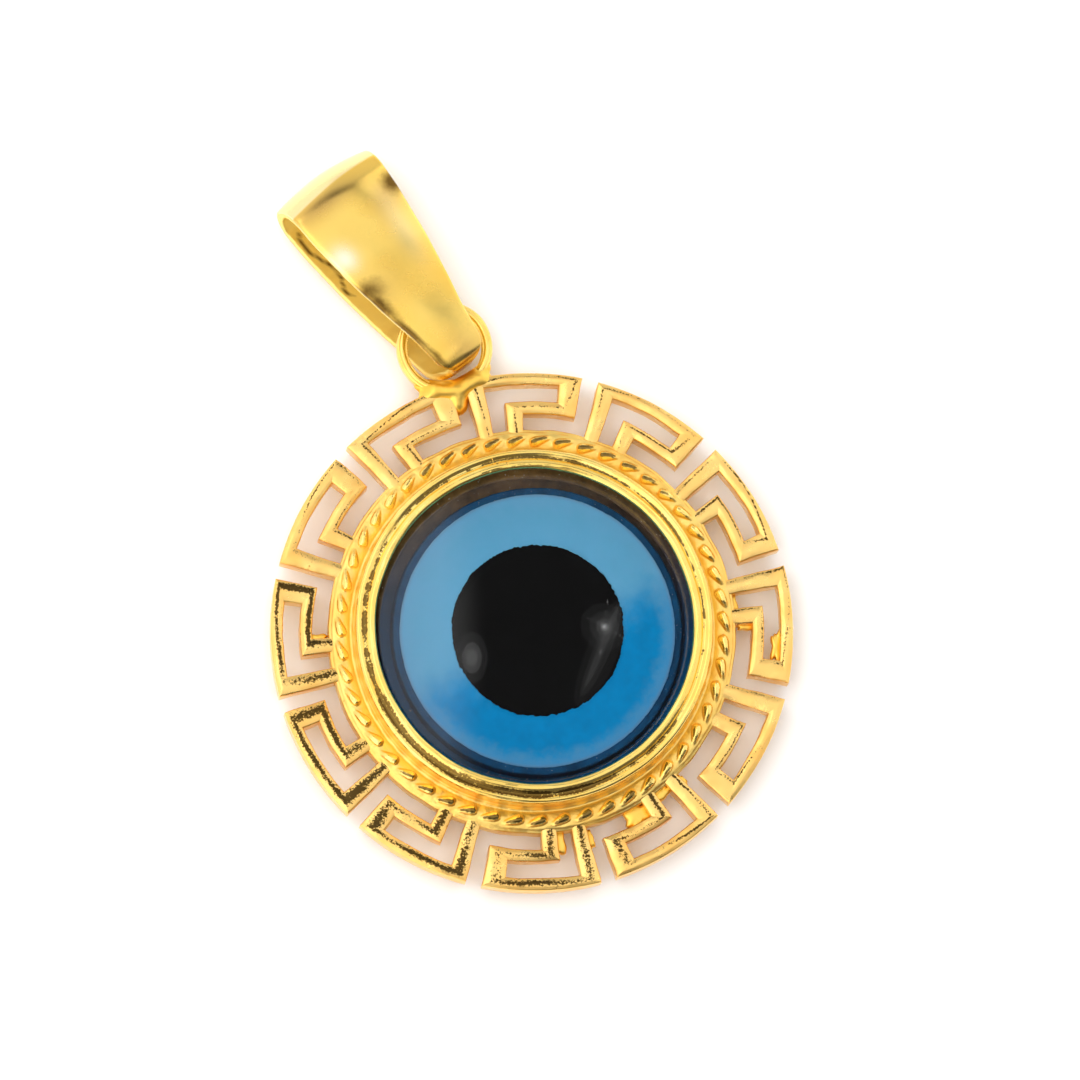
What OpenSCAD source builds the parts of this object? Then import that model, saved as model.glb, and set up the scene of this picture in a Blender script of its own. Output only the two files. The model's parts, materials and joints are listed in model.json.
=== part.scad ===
// Evil eye pendant. A glass eye sits in a closed cup. A pierced key border, a rope
// edge and a fixed loop are soldered to the cup, and a folded bail hangs in the loop.
// Millimetres. The origin is the centre of the cup's back, which lies on the
// surface. +Z is the front of the pendant and +Y points from the eye to the loop.

/* [Cup] */
// Outside diameter of the cup
cup_d = 13.66; // [13.4:0.02:14.2]
// Height of the cup from its back to its rim
cup_h = 3.05; // [3.0:0.05:3.4]
// Thickness of the cup's wall beside the glass
cup_wall = 0.66; // [0.6:0.02:0.74]
// Thickness of the closed back
cup_back = 0.4; // [0.3:0.05:0.5]
// Bevel round the edge of the back
back_bevel = 0.2; // [0.1:0.05:0.3]
// How far the rim leans in over the glass
rim_lip = 0.12; // [0.08:0.02:0.14]
// Width of the narrow bead at the inside of the rim
inner_bead_w = 0.26; // [0.2:0.02:0.3]
// Width of the broad bead at the outside of the rim
outer_bead_w = 0.56; // [0.5:0.02:0.6]
// How far the broad bead lies below the narrow one
bead_step = 0.05; // [0:0.01:0.1]
// Width of the ledge that carries the clear glass
ledge_w = 0.45; // [0.35:0.05:0.55]

/* [Glass eye] */
// Clearance between the navy glass and the wall of its recess, where they are closest
navy_gap = 0.14; // [0.08:0.01:0.3]
// Width of the navy ring that shows round the iris
navy_ring_w = 0.26; // [0.2:0.02:0.6]
// Width of the blue iris between its edge and the pupil
iris_ring_w = 1.94; // [1.4:0.02:2.4]
// Thickness of the navy glass
navy_t = 0.82; // [0.7:0.02:0.9]
// Thickness of the iris and of the pupil
layer_t = 0.05; // [0.04:0.01:0.06]
// Thickness of the clear glass at its edge
clear_edge_t = 1.15; // [1.0:0.05:1.2]
// Rise of the clear glass from its edge to its centre
dome_rise = 0.9; // [0.6:0.05:1.2]
// Clearance between the layers of the eye
layer_gap = 0.02; // [0.01:0.01:0.03]
// How far the eye sits off the middle of the cup
eye_shift = 0.18; // [0:0.02:0.22]
// Direction of that shift, from the right-hand side
eye_shift_a = -27; // [-180:1:180]
// Clearance round the clear glass
clear_gap = 0.05; // [0.03:0.01:0.06]

/* [Key border] */
// Width of the base ring between the cup and the open border
base_ring_w = 0.97; // [0.9:0.01:1.1]
// Thickness of the border
border_t = 0.95; // [0.8:0.05:1.1]
// Height of the border above the surface that the cup lies on
border_lift = 0.65; // [0.55:0.05:0.75]
// Number of keys round the border
key_n = 12; // [10:1:13]
// Width of the arc at the outside of a key
outer_arc_w = 0.47; // [0.4:0.01:0.55]
// Width of the slot between the two arcs of a key
slot_w = 0.64; // [0.55:0.01:0.7]
// Width of the inner arc of a key
inner_arc_w = 0.48; // [0.4:0.01:0.55]
// Width of the open channel under the inner arc
channel_w = 0.61; // [0.5:0.01:0.7]
// Gap between two keys, at the middle of the border's width
key_gap = 0.56; // [0.45:0.01:0.65]
// Width of the end arm that joins the two arcs
end_arm_w = 0.76; // [0.6:0.01:0.8]
// Width of the long foot, from the outer arc to the base ring
long_foot_w = 0.65; // [0.55:0.01:0.75]
// Width of the gap between the two feet of a key
foot_gap = 0.65; // [0.55:0.01:0.75]
// Width of the short foot, from the inner arc to the base ring
short_foot_w = 0.68; // [0.55:0.01:0.75]
// Bevel round the outer edge of the border
border_bevel = 0.1; // [0.05:0.01:0.15]
// Thickness of the thin webs of solder in some of the openings
web_t = 0.45; // [0.3:0.05:0.6]

/* [Rope edge] */
// Number of twists round the rope
rope_n = 51; // [46:1:54]
// Width of the rope
rope_core_w = 0.52; // [0.44:0.02:0.56]
// Height of the rope above the border
rope_rise = 0.3; // [0.2:0.02:0.4]
// Length of one twist
twist_l = 0.84; // [0.7:0.02:0.9]
// Width of one twist at its fullest
twist_w = 0.34; // [0.28:0.02:0.38]
// Angle between a twist and the run of the rope
twist_slant = 20; // [12:1:28]
// Bare strip between the cup and the rope
rope_cove = 0.29; // [0.25:0.01:0.3]

/* [Loop] */
// Outside diameter of the loop
loop_d = 3.7; // [3.6:0.05:3.9]
// Width of the loop's band
band_w = 0.44; // [0.4:0.02:0.5]
// Depth of the loop's band, front to back
band_t = 0.7; // [0.6:0.02:0.74]
// How far the loop sinks into the border
loop_sink = 0.39; // [0.34:0.01:0.4]
// Width of the solder saddle between the loop and the border
saddle_w = 2.6; // [2.2:0.1:2.8]
// How far the saddle runs down between two keys
saddle_run = 0.8; // [0.5:0.05:1.0]
// Depth of the saddle, front to back
saddle_t = 0.9; // [0.7:0.05:1.0]

/* [Bail] */
// Length of the bail
bail_l = 9.35; // [8.5:0.05:10]
// Width of the bail at its top
bail_w = 4.32; // [3.9:0.02:4.5]
// Thickness of the whole bail, front to back
bail_t = 2.7; // [2.6:0.05:2.8]
// Thickness of its folded strap
strap_t = 0.36; // [0.3:0.02:0.4]
// How far the strap's edges fall away from its middle at the top
bail_crown = 0.25; // [0.2:0.01:0.3]
// Clearance between the bail's tip and the inside of the loop
tip_gap = 0.3; // [0.26:0.01:0.34]
// Height of the bail's middle above the loop's middle
bail_ride = 0.15; // [0.1:0.01:0.18]
// Shift of the bail to the right of the loop's middle
bail_shift = 0.06; // [0:0.02:0.1]
// Turn of the bail to the left of straight up, as it lies
bail_turn = 20; // [10:1:22]
// Roll of the bail on its crowned back, as it lies
bail_roll = 9; // [6:1:10]

/* [Hidden] */
$fn = 96;
gold = [0.93, 0.71, 0.29];
navy = [0.05, 0.14, 0.34];
blue = [0.10, 0.52, 0.76];
black = [0.03, 0.03, 0.04];
clear = [0.85, 0.93, 0.97, 0.35];
// Overlap that joins solids which are cast or soldered as one
weld = 0.2;
// Extra reach of a cut past the faces that it goes through
over = 0.5;

cup_r = cup_d / 2;
cup_in = cup_r - cup_wall;
recess_r = cup_in - ledge_w;
inner_bead_r = inner_bead_w / 2;
outer_bead_r = outer_bead_w / 2;
inner_bead_x = cup_in - rim_lip + inner_bead_r;
inner_bead_z = cup_h - inner_bead_r;
outer_bead_x = cup_r - outer_bead_r;
outer_bead_z = cup_h - bead_step - outer_bead_r;

navy_r = recess_r - eye_shift - navy_gap;
iris_r = navy_r - navy_ring_w;
pupil_r = iris_r - iris_ring_w;
navy_z = cup_back + layer_gap;
iris_z = navy_z + navy_t + layer_gap;
pupil_z = iris_z + layer_t + layer_gap;
ledge_z = pupil_z + layer_t;
clear_z = ledge_z + layer_gap;
clear_r = cup_in - clear_gap;
clear_edge_z = clear_z + clear_edge_t;
dome_top_z = clear_edge_z + dome_rise;
dome_r = (clear_r * clear_r + dome_rise * dome_rise) / (2 * dome_rise);
lip_z = clear_edge_z + clear_gap;

base_r = cup_r + base_ring_w;
channel_out = base_r + channel_w;
slot_in = channel_out + inner_arc_w;
slot_out = slot_in + slot_w;
border_r = slot_out + outer_arc_w;
border_top = border_lift + border_t;
border_mid_r = (border_r + base_r) / 2;
key_pitch = 360 / key_n;
// The angles below run from the right-hand end of a key towards its long foot.
key_span = key_pitch - arc_deg(key_gap);
end_arm_a = arc_deg(end_arm_w);
long_foot_a = key_span - arc_deg(long_foot_w);
foot_gap_a = long_foot_a - arc_deg(foot_gap);
short_foot_a = foot_gap_a - arc_deg(short_foot_w);
first_gap_a = 90;

rope_r = cup_r + rope_cove + rope_core_w / 2;
rope_z = border_top;

loop_r = loop_d / 2;
loop_in = loop_r - band_w;
loop_y = border_r + loop_r - loop_sink;

// Height of the bail's middle when its crowned back touches the surface
crown_k = bail_crown / pow(bail_w / 2, 2);
bail_z = bail_t / 2 * cos(bail_roll) + pow(sin(bail_roll), 2) / (4 * crown_k * cos(bail_roll));
loop_z = bail_z - bail_ride;
bend_r = bail_t / 2;
tip_y = tip_gap - loop_in;
bend_low_y = tip_y + bend_r;
bend_top_y = tip_y + bail_l - bend_r;
// Steps round each bend, along each side and across the strap
bend_n = 14;
side_n = 12;
across_n = 8;

// Half width of the bail: [share of its length from the tip, share of half its width]
bail_outline = [
    [0, 0.14], [0.013, 0.23], [0.032, 0.32], [0.064, 0.39], [0.118, 0.45],
    [0.22, 0.54], [0.33, 0.66], [0.54, 0.83], [0.76, 0.945], [1, 1]
];
// Half outline of one twist: [share of half its width, share of its length]
twist_half = [[0, 1], [0.62, 0.95], [0.94, 0.83], [1, 0.68], [0.7, 0.36], [0.25, 0.04], [0, 0]];
// Solder webs: [key, start and end as shares of the key's span,
// start and end as shares of the way from the base ring to the outer edge]
webs = [
    [6, 0.30, 0.53, -0.05, 0.30],
    [6, 0.67, 0.85, -0.05, 0.14],
    [6, 0.99, 1.04, 0.02, 0.22],
    [5, 0.99, 1.05, 0.04, 0.34],
    [5, 0.67, 0.76, -0.05, 0.36],
    [8, 0.20, 0.44, 0.64, 0.80],
    [8, 0.67, 0.85, -0.05, 0.08],
    [8, 0.47, 0.53, 0.05, 0.30],
    [2, 0.46, 0.53, 0.03, 0.30]
];

// Angle of an arc of the given length at the middle of the border's width
function arc_deg(length) = length / border_mid_r * 180 / PI;

// Flat sector of a ring, from angle a0 to angle a1
module sector(r_in, r_out, a0, a1) {
    reach = 2 * r_out;
    intersection() {
        difference() {
            circle(r = r_out);
            circle(r = r_in);
        }
        polygon([[0, 0], [reach * cos(a0), reach * sin(a0)], [reach * cos(a1), reach * sin(a1)]]);
    }
}

module cup_section() {
    polygon([
        [0, 0], [cup_r - back_bevel, 0], [cup_r, back_bevel], [cup_r, outer_bead_z],
        [outer_bead_x, outer_bead_z], [inner_bead_x + inner_bead_r, inner_bead_z],
        [inner_bead_x - inner_bead_r, inner_bead_z], [cup_in, lip_z], [cup_in, ledge_z],
        [recess_r, ledge_z], [recess_r, cup_back], [0, cup_back]
    ]);
    translate([outer_bead_x, outer_bead_z]) circle(r = outer_bead_r);
    translate([inner_bead_x, inner_bead_z]) circle(r = inner_bead_r);
}

module border_section() {
    polygon([
        [cup_r - weld, border_lift], [border_r - border_bevel, border_lift],
        [border_r, border_lift + border_bevel], [border_r, border_top - border_bevel],
        [border_r - border_bevel, border_top], [cup_r - weld, border_top]
    ]);
}

// The two openings of one key: the closed one between its arcs and feet, and the
// channel under its inner arc, which runs out through the gap beside it.
module key_openings() {
    sector(slot_in, slot_out, end_arm_a, long_foot_a);
    sector(base_r, slot_out, foot_gap_a, long_foot_a);
    sector(base_r, channel_out, key_span - key_pitch, short_foot_a);
    sector(base_r, border_r + over, key_span - key_pitch, 0);
}

module on_key(k) {
    rotate([0, 0, first_gap_a + k * key_pitch + (key_pitch - key_span) / 2]) children();
}

module key_border() {
    intersection() {
        rotate_extrude() border_section();
        translate([0, 0, border_lift - over])
            linear_extrude(border_t + 2 * over)
                difference() {
                    circle(r = border_r + over);
                    for (k = [0 : key_n - 1]) on_key(k) key_openings();
                }
    }
}

// Thin webs that the solder left across some of the openings
module solder_webs() {
    span = border_r - base_r;
    translate([0, 0, border_lift + border_bevel])
        linear_extrude(web_t)
            for (w = webs)
                on_key(w[0])
                    sector(base_r + w[3] * span, base_r + w[4] * span, w[1] * key_span, w[2] * key_span);
}

// Outline of one twist of the rope, seen from the front
module twist_outline() {
    right = [for (p = twist_half) [p[0] * twist_w / 2, (p[1] - 0.5) * twist_l]];
    left = [for (i = [len(twist_half) - 2 : -1 : 1]) [-right[i][0], right[i][1]]];
    polygon(concat(right, left));
}

module rope_edge() {
    half_w = rope_core_w / 2;
    intersection() {
        rotate_extrude()
            polygon([
                [rope_r - half_w, rope_z - weld], [rope_r + half_w, rope_z - weld],
                [rope_r + half_w, rope_z + rope_rise / 3], [rope_r + half_w / 3, rope_z + rope_rise],
                [rope_r - half_w / 3, rope_z + rope_rise], [rope_r - half_w, rope_z + rope_rise / 3]
            ]);
        translate([0, 0, rope_z - weld / 2])
            linear_extrude(weld + rope_rise)
                for (k = [0 : rope_n - 1])
                    rotate([0, 0, k * 360 / rope_n])
                        translate([rope_r, 0]) rotate([0, 0, twist_slant]) twist_outline();
    }
}

module fixed_loop() {
    straight = band_t - band_w;
    translate([0, loop_y, loop_z])
        rotate_extrude() translate([loop_r - band_w / 2, 0]) {
            square([band_w, straight], center = true);
            for (side = [-1, 1]) translate([0, side * straight / 2]) circle(d = band_w);
        }
}

// Solder between the loop and the two keys beside it
module saddle() {
    foot = key_gap / 2 + weld / 4;
    low = border_r - saddle_run;
    difference() {
        translate([0, 0, border_top - border_bevel - saddle_t])
            linear_extrude(saddle_t)
                polygon([
                    [-foot, low], [foot, low], [foot, border_r - outer_arc_w],
                    [saddle_w / 2, border_r - weld], [saddle_w / 2 - weld, border_r + weld],
                    [0, loop_y - loop_in], [weld - saddle_w / 2, border_r + weld],
                    [-saddle_w / 2, border_r - weld], [-foot, border_r - outer_arc_w]
                ]);
        translate([0, loop_y, -over]) cylinder(r = loop_in + weld / 2, h = border_top + 2 * over);
    }
}

module setting() {
    color(gold) {
        rotate_extrude() cup_section();
        key_border();
        solder_webs();
        rope_edge();
        fixed_loop();
        saddle();
    }
}

// Puts a layer of the eye at its height, off the middle as it was set
module in_eye(z) {
    translate([eye_shift * cos(eye_shift_a), eye_shift * sin(eye_shift_a), z]) children();
}

module navy_glass() {
    color(navy) in_eye(navy_z) cylinder(r = navy_r, h = navy_t);
}

module iris() {
    color(blue) in_eye(iris_z) cylinder(r = iris_r, h = layer_t);
}

module pupil() {
    color(black) in_eye(pupil_z) cylinder(r = pupil_r, h = layer_t);
}

module clear_glass() {
    color(clear) rotate_extrude()
        intersection() {
            translate([0, clear_z]) square([clear_r, dome_top_z - clear_z]);
            translate([0, dome_top_z - dome_r]) circle(r = dome_r);
        }
}

// Stations of the strap's outer face round the bail, each [y, z, normal y, normal z]:
// round the tip from front to back, up the back, over the top and down the front.
function bend_station(y, a) = [y + bend_r * cos(a), bend_r * sin(a), cos(a), sin(a)];
function side_station(share, face) =
    [bend_low_y + share * (bend_top_y - bend_low_y), face * bend_r, 0, face];
stations = concat(
    [for (i = [0 : bend_n]) bend_station(bend_low_y, 90 + 180 * i / bend_n)],
    [for (i = [1 : side_n - 1]) side_station(i / side_n, -1)],
    [for (i = [0 : bend_n]) bend_station(bend_top_y, -90 + 180 * i / bend_n)],
    [for (i = [1 : side_n - 1]) side_station(1 - i / side_n, 1)]
);

// A point of the strap at one station, at a share x across it and at a depth in it
function strap_point(s, x, depth) =
    let (half_w = lookup((s[0] - tip_y) / bail_l, bail_outline) * bail_w / 2)
    let (drop = crown_k * pow(x * half_w, 2) + depth)
    [x * half_w, s[0] - s[2] * drop, s[1] - s[3] * drop];

function strap_section(s) = concat(
    [for (i = [0 : across_n]) strap_point(s, 2 * i / across_n - 1, 0)],
    [for (i = [across_n : -1 : 0]) strap_point(s, 2 * i / across_n - 1, strap_t)]
);

// The strap's sections joined into one closed ring of triangles
module strap() {
    n = len(stations);
    m = 2 * (across_n + 1);
    points = [for (s = stations) each strap_section(s)];
    faces = [
        for (i = [0 : n - 1], j = [0 : m - 1])
            let (a = i * m + j)
            let (b = i * m + (j + 1) % m)
            let (c = (i + 1) % n * m + (j + 1) % m)
            let (d = (i + 1) % n * m + j)
            each [[a, b, c], [a, c, d]]
    ];
    polyhedron(points, faces);
}

module bail() {
    color(gold)
        translate([0, loop_y, bail_z])
            rotate([0, 0, bail_turn])
                translate([bail_shift, 0, 0]) rotate([0, bail_roll, 0]) strap();
}

setting();
navy_glass();
iris();
pupil();
clear_glass();
bail();
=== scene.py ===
# Evil eye pendant: the finish of every piece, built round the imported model.
# Lengths in the dictionaries are millimetres and angles are degrees. Unevenness is given as rows
# of (size of its waves, seed, amount).
import json
import math

import bpy
import numpy as np
from mathutils import Matrix, Vector

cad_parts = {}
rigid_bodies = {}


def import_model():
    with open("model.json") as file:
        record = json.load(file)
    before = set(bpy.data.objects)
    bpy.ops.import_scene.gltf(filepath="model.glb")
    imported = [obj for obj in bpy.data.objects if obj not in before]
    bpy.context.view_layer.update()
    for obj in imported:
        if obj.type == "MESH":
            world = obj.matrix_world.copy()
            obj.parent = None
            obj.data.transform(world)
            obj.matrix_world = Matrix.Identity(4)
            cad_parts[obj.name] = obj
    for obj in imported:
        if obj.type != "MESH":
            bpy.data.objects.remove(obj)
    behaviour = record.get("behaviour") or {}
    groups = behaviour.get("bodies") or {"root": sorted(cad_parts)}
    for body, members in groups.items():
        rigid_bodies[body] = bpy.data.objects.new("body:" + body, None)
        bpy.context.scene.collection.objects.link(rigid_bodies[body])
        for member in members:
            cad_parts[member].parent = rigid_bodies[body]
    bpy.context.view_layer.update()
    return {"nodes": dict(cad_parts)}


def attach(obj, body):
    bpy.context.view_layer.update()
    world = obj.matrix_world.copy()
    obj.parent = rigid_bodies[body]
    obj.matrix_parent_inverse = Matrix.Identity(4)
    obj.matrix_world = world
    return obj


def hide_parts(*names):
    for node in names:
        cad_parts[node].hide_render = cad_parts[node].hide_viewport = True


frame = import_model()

mm = 0.001
print("frame loaded:", ", ".join(sorted(frame["nodes"])))


# The photograph's view

photoView = {
    "imageSide": 1080,              # pixels
    "pixelsPerMm": 26.19,
    "borderCentre": (532.5, 630.8),  # pixel where the middle of the border's top lies
    "borderTop": 1.6,               # height of that top
    "lean": 9.7,                    # between the view and the front of the pendant
    "leanTowards": 67.0,            # direction in the image, from the right
    "upAngle": 107.2,               # direction in the image of the pendant's +Y
    "distance": 420.0,
    "nearest": 10.0,
    "sensor": 36.0,
}


# Camera that sees the pendant leaning and turned as in the photograph
def photoCamera(view):
    lean = math.radians(view["lean"])
    towards = math.radians(view["leanTowards"])
    up = math.radians(view["upAngle"]) - towards
    # the turn in the pendant's plane that puts +Y at its image direction once it leans
    turn = towards + math.atan2(math.cos(lean) * math.sin(up), math.cos(up)) - math.pi / 2
    leanAxis = Vector((-math.sin(towards), math.cos(towards), 0))
    toCamera = Matrix.Rotation(lean, 3, leanAxis) @ Matrix.Rotation(turn, 3, "Z")
    toWorld = toCamera.transposed()
    half = view["imageSide"] / 2
    aside = (half - view["borderCentre"][0]) / view["pixelsPerMm"]
    above = (view["borderCentre"][1] - half) / view["pixelsPerMm"]
    target = Vector((0, 0, view["borderTop"])) + toWorld @ Vector((aside, above, 0))
    place = (target + toWorld @ Vector((0, 0, view["distance"]))) * mm
    data = bpy.data.cameras.new("photoCamera")
    data.sensor_width = view["sensor"]
    data.lens = view["sensor"] * view["distance"] * view["pixelsPerMm"] / view["imageSide"]
    data.clip_start = view["nearest"] * mm
    camera = bpy.data.objects.new("photoCamera", data)
    camera.matrix_world = Matrix.Translation(place) @ toWorld.to_4x4()
    bpy.context.scene.collection.objects.link(camera)
    bpy.context.scene.camera = camera
    return turn


imageTurn = photoCamera(photoView)
print("camera placed")


# Direction in the pendant's plane of a direction of the photograph
def inPlane(angle):
    turned = math.radians(angle) - imageTurn
    return Vector((math.cos(turned), math.sin(turned), 0))


# How far each place round the pendant lies towards an image direction, from -1 to 1
def towardsImage(x, y, angle):
    direction = inPlane(angle)
    return (x * direction.x + y * direction.y) / np.maximum(np.hypot(x, y), 1e-9)


# Shapes: grids of points become closed meshes

# Smooth irregularity, mostly between -1 and 1: sine waves of about that length in random directions
def wobble(points, size, seed, waves=7, spread=(0.7, 1.4)):
    rng = np.random.default_rng(seed)
    total = np.zeros(points.shape[:-1])
    for _ in range(waves):
        direction = rng.normal(size=3)
        direction *= 2 * math.pi / (size * rng.uniform(*spread) * np.linalg.norm(direction))
        total += np.sin(points @ direction + rng.uniform(0, 2 * math.pi))
    return total / math.sqrt(waves)


# Sum of the irregularities of a table
def unevenness(points, table):
    return sum(amount * wobble(points, size, seed) for size, seed, amount in table)


# Soft step from 0 at one value to 1 at the other
def softStep(value, start, end):
    share = np.clip((value - start) / (end - start), 0, 1)
    return share * share * (3 - 2 * share)


def between(ends, share):
    return ends[0] + (ends[1] - ends[0]) * share


# Quads between neighbouring points of a grid whose point (i, j) has the index i * columns + j
def gridFaces(rows, columns, wrapRows=False, wrapColumns=True, flip=False):
    i = np.arange(rows if wrapRows else rows - 1)[:, None]
    j = np.arange(columns if wrapColumns else columns - 1)[None, :]
    nextI = (i + 1) % rows
    nextJ = (j + 1) % columns
    quads = np.stack(np.broadcast_arrays(i * columns + j, nextI * columns + j,
                                         nextI * columns + nextJ, i * columns + nextJ), axis=-1)
    quads = quads.reshape(-1, 4)
    return quads[:, ::-1] if flip else quads


# Triangles from a centre point to a closed ring of point indices
def fanFaces(ring, centre, flip=False):
    ring = np.asarray(ring)
    tris = np.stack([np.full(len(ring), centre), ring, np.roll(ring, -1)], axis=-1)
    return tris[:, ::-1] if flip else tris


# The same faces for every copy of a block of points
def repeated(faces, count, stride):
    return (faces[None] + (np.arange(count) * stride)[:, None, None]).reshape(-1, faces.shape[1])


# Faces of closed drops, each a block of rings of points followed by its two poles
def dropFaces(count, rings, sides, flip=False):
    block = rings * sides + 2
    ring = np.arange(sides)
    parts = (gridFaces(rings, sides, flip=flip), fanFaces(ring, block - 2, flip=flip),
             fanFaces(ring + block - 2 - sides, block - 1, flip=not flip))
    return [repeated(part, count, block) for part in parts]


# Mesh object in the frame of the model from points in mm, riding a body and standing for CAD nodes
def makePiece(name, points, faceLists, materials, body, stands, sharp=40.0, values=None, slots=None):
    data = bpy.data.meshes.new(name)
    faces = [face for block in faceLists for face in block.tolist()]
    data.from_pydata((points.reshape(-1, 3) * mm).tolist(), [], faces)
    for material in materials:
        data.materials.append(material)
    if slots is not None:
        data.polygons.foreach_set("material_index", np.asarray(slots, dtype=np.int32))
    for label, amounts in (values or {}).items():
        layer = data.attributes.new(label, "FLOAT", "POINT")
        layer.data.foreach_set("value", np.asarray(amounts, dtype=np.float32).ravel())
    data.update()
    data.shade_smooth()
    data.set_sharp_from_angle(angle=math.radians(sharp))
    piece = bpy.data.objects.new(name, data)
    bpy.context.scene.collection.objects.link(piece)
    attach(piece, body)
    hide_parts(*stands)
    print("made", name, len(faces), "faces")
    return piece


# Angles of even steps round a circle
def turns(count):
    return np.arange(count) * 2 * math.pi / count


# Tilts of the rings of a drop, between its two poles
def tilts(rings):
    return np.linspace(-1, 1, rings + 2)[1:-1] * math.pi / 2


# Points at angles, radii and heights
def roundPoints(angle, radius, height):
    return np.stack([radius * np.cos(angle), radius * np.sin(angle), height], axis=-1)


# Power of a value that keeps its sign: below 1 it makes a round form squarer
def squared(value, power):
    return np.sign(value) * np.abs(value) ** power


# Points and faces of an outline of (radius, height) turned about +Z; a first or last radius of 0 is a pole
def revolved(outline, steps, shift=(0.0, 0.0), shape=None):
    outline = np.asarray(outline, dtype=float)
    startPole = outline[0, 0] == 0
    endPole = outline[-1, 0] == 0
    body = outline[(1 if startPole else 0):(-1 if endPole else len(outline))]
    angle = turns(steps)[:, None]
    radius, height = (np.broadcast_to(body[None, :, k], (steps, len(body))).copy() for k in (0, 1))
    if shape is not None:
        radius, height = shape(angle, radius, height)
    points = (roundPoints(angle, radius, height) + np.array([*shift, 0.0])).reshape(-1, 3)
    columns = len(body)
    faces = [gridFaces(steps, columns, wrapRows=True, wrapColumns=not (startPole or endPole))]
    rings = np.arange(steps) * columns
    if startPole:
        points = np.vstack([points, [[*shift, outline[0, 1]]]])
        faces.append(fanFaces(rings, len(points) - 1, flip=True))
    if endPole:
        points = np.vstack([points, [[*shift, outline[-1, 1]]]])
        faces.append(fanFaces(rings + columns - 1, len(points) - 1))
    return points, faces


# Points of an arc round a centre, from one angle to another
def arc(centre, radius, start, end, steps):
    angle = np.radians(np.linspace(start, end, steps))
    return np.stack([centre[0] + radius * np.cos(angle), centre[1] + radius * np.sin(angle)], axis=-1)


# Points on a circle of that radius, for irregularities that run round the pendant
def ringPoints(angle, radius):
    return np.concatenate([np.cos(angle), np.sin(angle), 0 * angle], axis=-1)[:, None, :] * radius


# Even points along a line through given places, with its corners softened
def softLine(places, count, rounds=4):
    places = np.array(places, dtype=float)
    length = np.concatenate([[0], np.cumsum(np.linalg.norm(np.diff(places, axis=0), axis=1))])
    at = np.linspace(0, length[-1], count)
    line = np.stack([np.interp(at, length, places[:, k]) for k in (0, 1)], axis=-1)
    for _ in range(rounds):
        line[1:-1] = (line[:-2] + 2 * line[1:-1] + line[2:]) / 4
    return line


# Materials

# Nodes of a material or of the sky. Each method adds one node and returns its output.
class NodeTree:
    def __init__(self, owner):
        owner.use_nodes = True
        self.owner = owner
        self.nodes = owner.node_tree.nodes
        self.links = owner.node_tree.links

    # Puts a number, a colour, a vector or another node's output into a socket
    def feed(self, socket, value):
        if isinstance(value, bpy.types.NodeSocket):
            self.links.new(value, socket)
        elif socket.type == "RGBA":
            socket.default_value = (*value, 1.0)
        else:
            socket.default_value = value

    def add(self, kind, output, inputs, **settings):
        node = self.nodes.new("ShaderNode" + kind)
        for name, value in settings.items():
            setattr(node, name, value)
        for socket, value in inputs.items():
            self.feed(node.inputs[socket], value)
        return node.outputs[output]

    # Noise whose features are about that many mm across
    def noise(self, vector, size, detail=3.0, rough=0.55):
        return self.add("TexNoise", "Fac", {"Vector": vector, "Scale": 1 / (size * mm), "Detail": detail,
                                            "Roughness": rough})

    # Value carried from one range into another, and held at its ends
    def ramp(self, value, ends, results=(0.0, 1.0), soft=False):
        return self.add("MapRange", "Result",
                        {"Value": value, "From Min": ends[0], "From Max": ends[1],
                         "To Min": results[0], "To Max": results[1]},
                        interpolation_type="SMOOTHSTEP" if soft else "LINEAR")

    def mix(self, amount, first, second):
        return self.add("Mix", "Result", {"Factor": amount, "A": first, "B": second}, data_type="RGBA")

    def math(self, kind, first, second):
        return self.add("Math", "Value", {0: first, 1: second}, operation=kind)

    def dot(self, vector, direction):
        return self.add("VectorMath", "Value", {0: vector, 1: direction}, operation="DOT_PRODUCT")

    # Bump whose heights 0 to 1 stand for that many mm
    def bump(self, height, depth, after=None):
        inputs = {"Strength": 1.0, "Distance": depth * mm, "Height": height}
        if after is not None:
            inputs["Normal"] = after
        return self.add("Bump", "Normal", inputs)

    def attribute(self, label):
        return self.add("Attribute", "Fac", {}, attribute_name=label)

    def objectPlace(self):
        return self.add("TexCoord", "Object", {})

    # Coordinates stretched along one direction of the surface, for scratches and streaks
    def stretched(self, place, turn, scale):
        return self.add("Mapping", "Vector", {"Vector": place, "Rotation": (0, 0, math.radians(turn)),
                                              "Scale": scale}, vector_type="TEXTURE")

    # Sets the shader's sockets and returns the finished material
    def finish(self, sockets):
        shader = self.nodes["Principled BSDF"]
        for name, value in sockets.items():
            self.feed(shader.inputs[name], value)
        return self.owner


def newMaterial(name):
    return NodeTree(bpy.data.materials.new(name))


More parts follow.
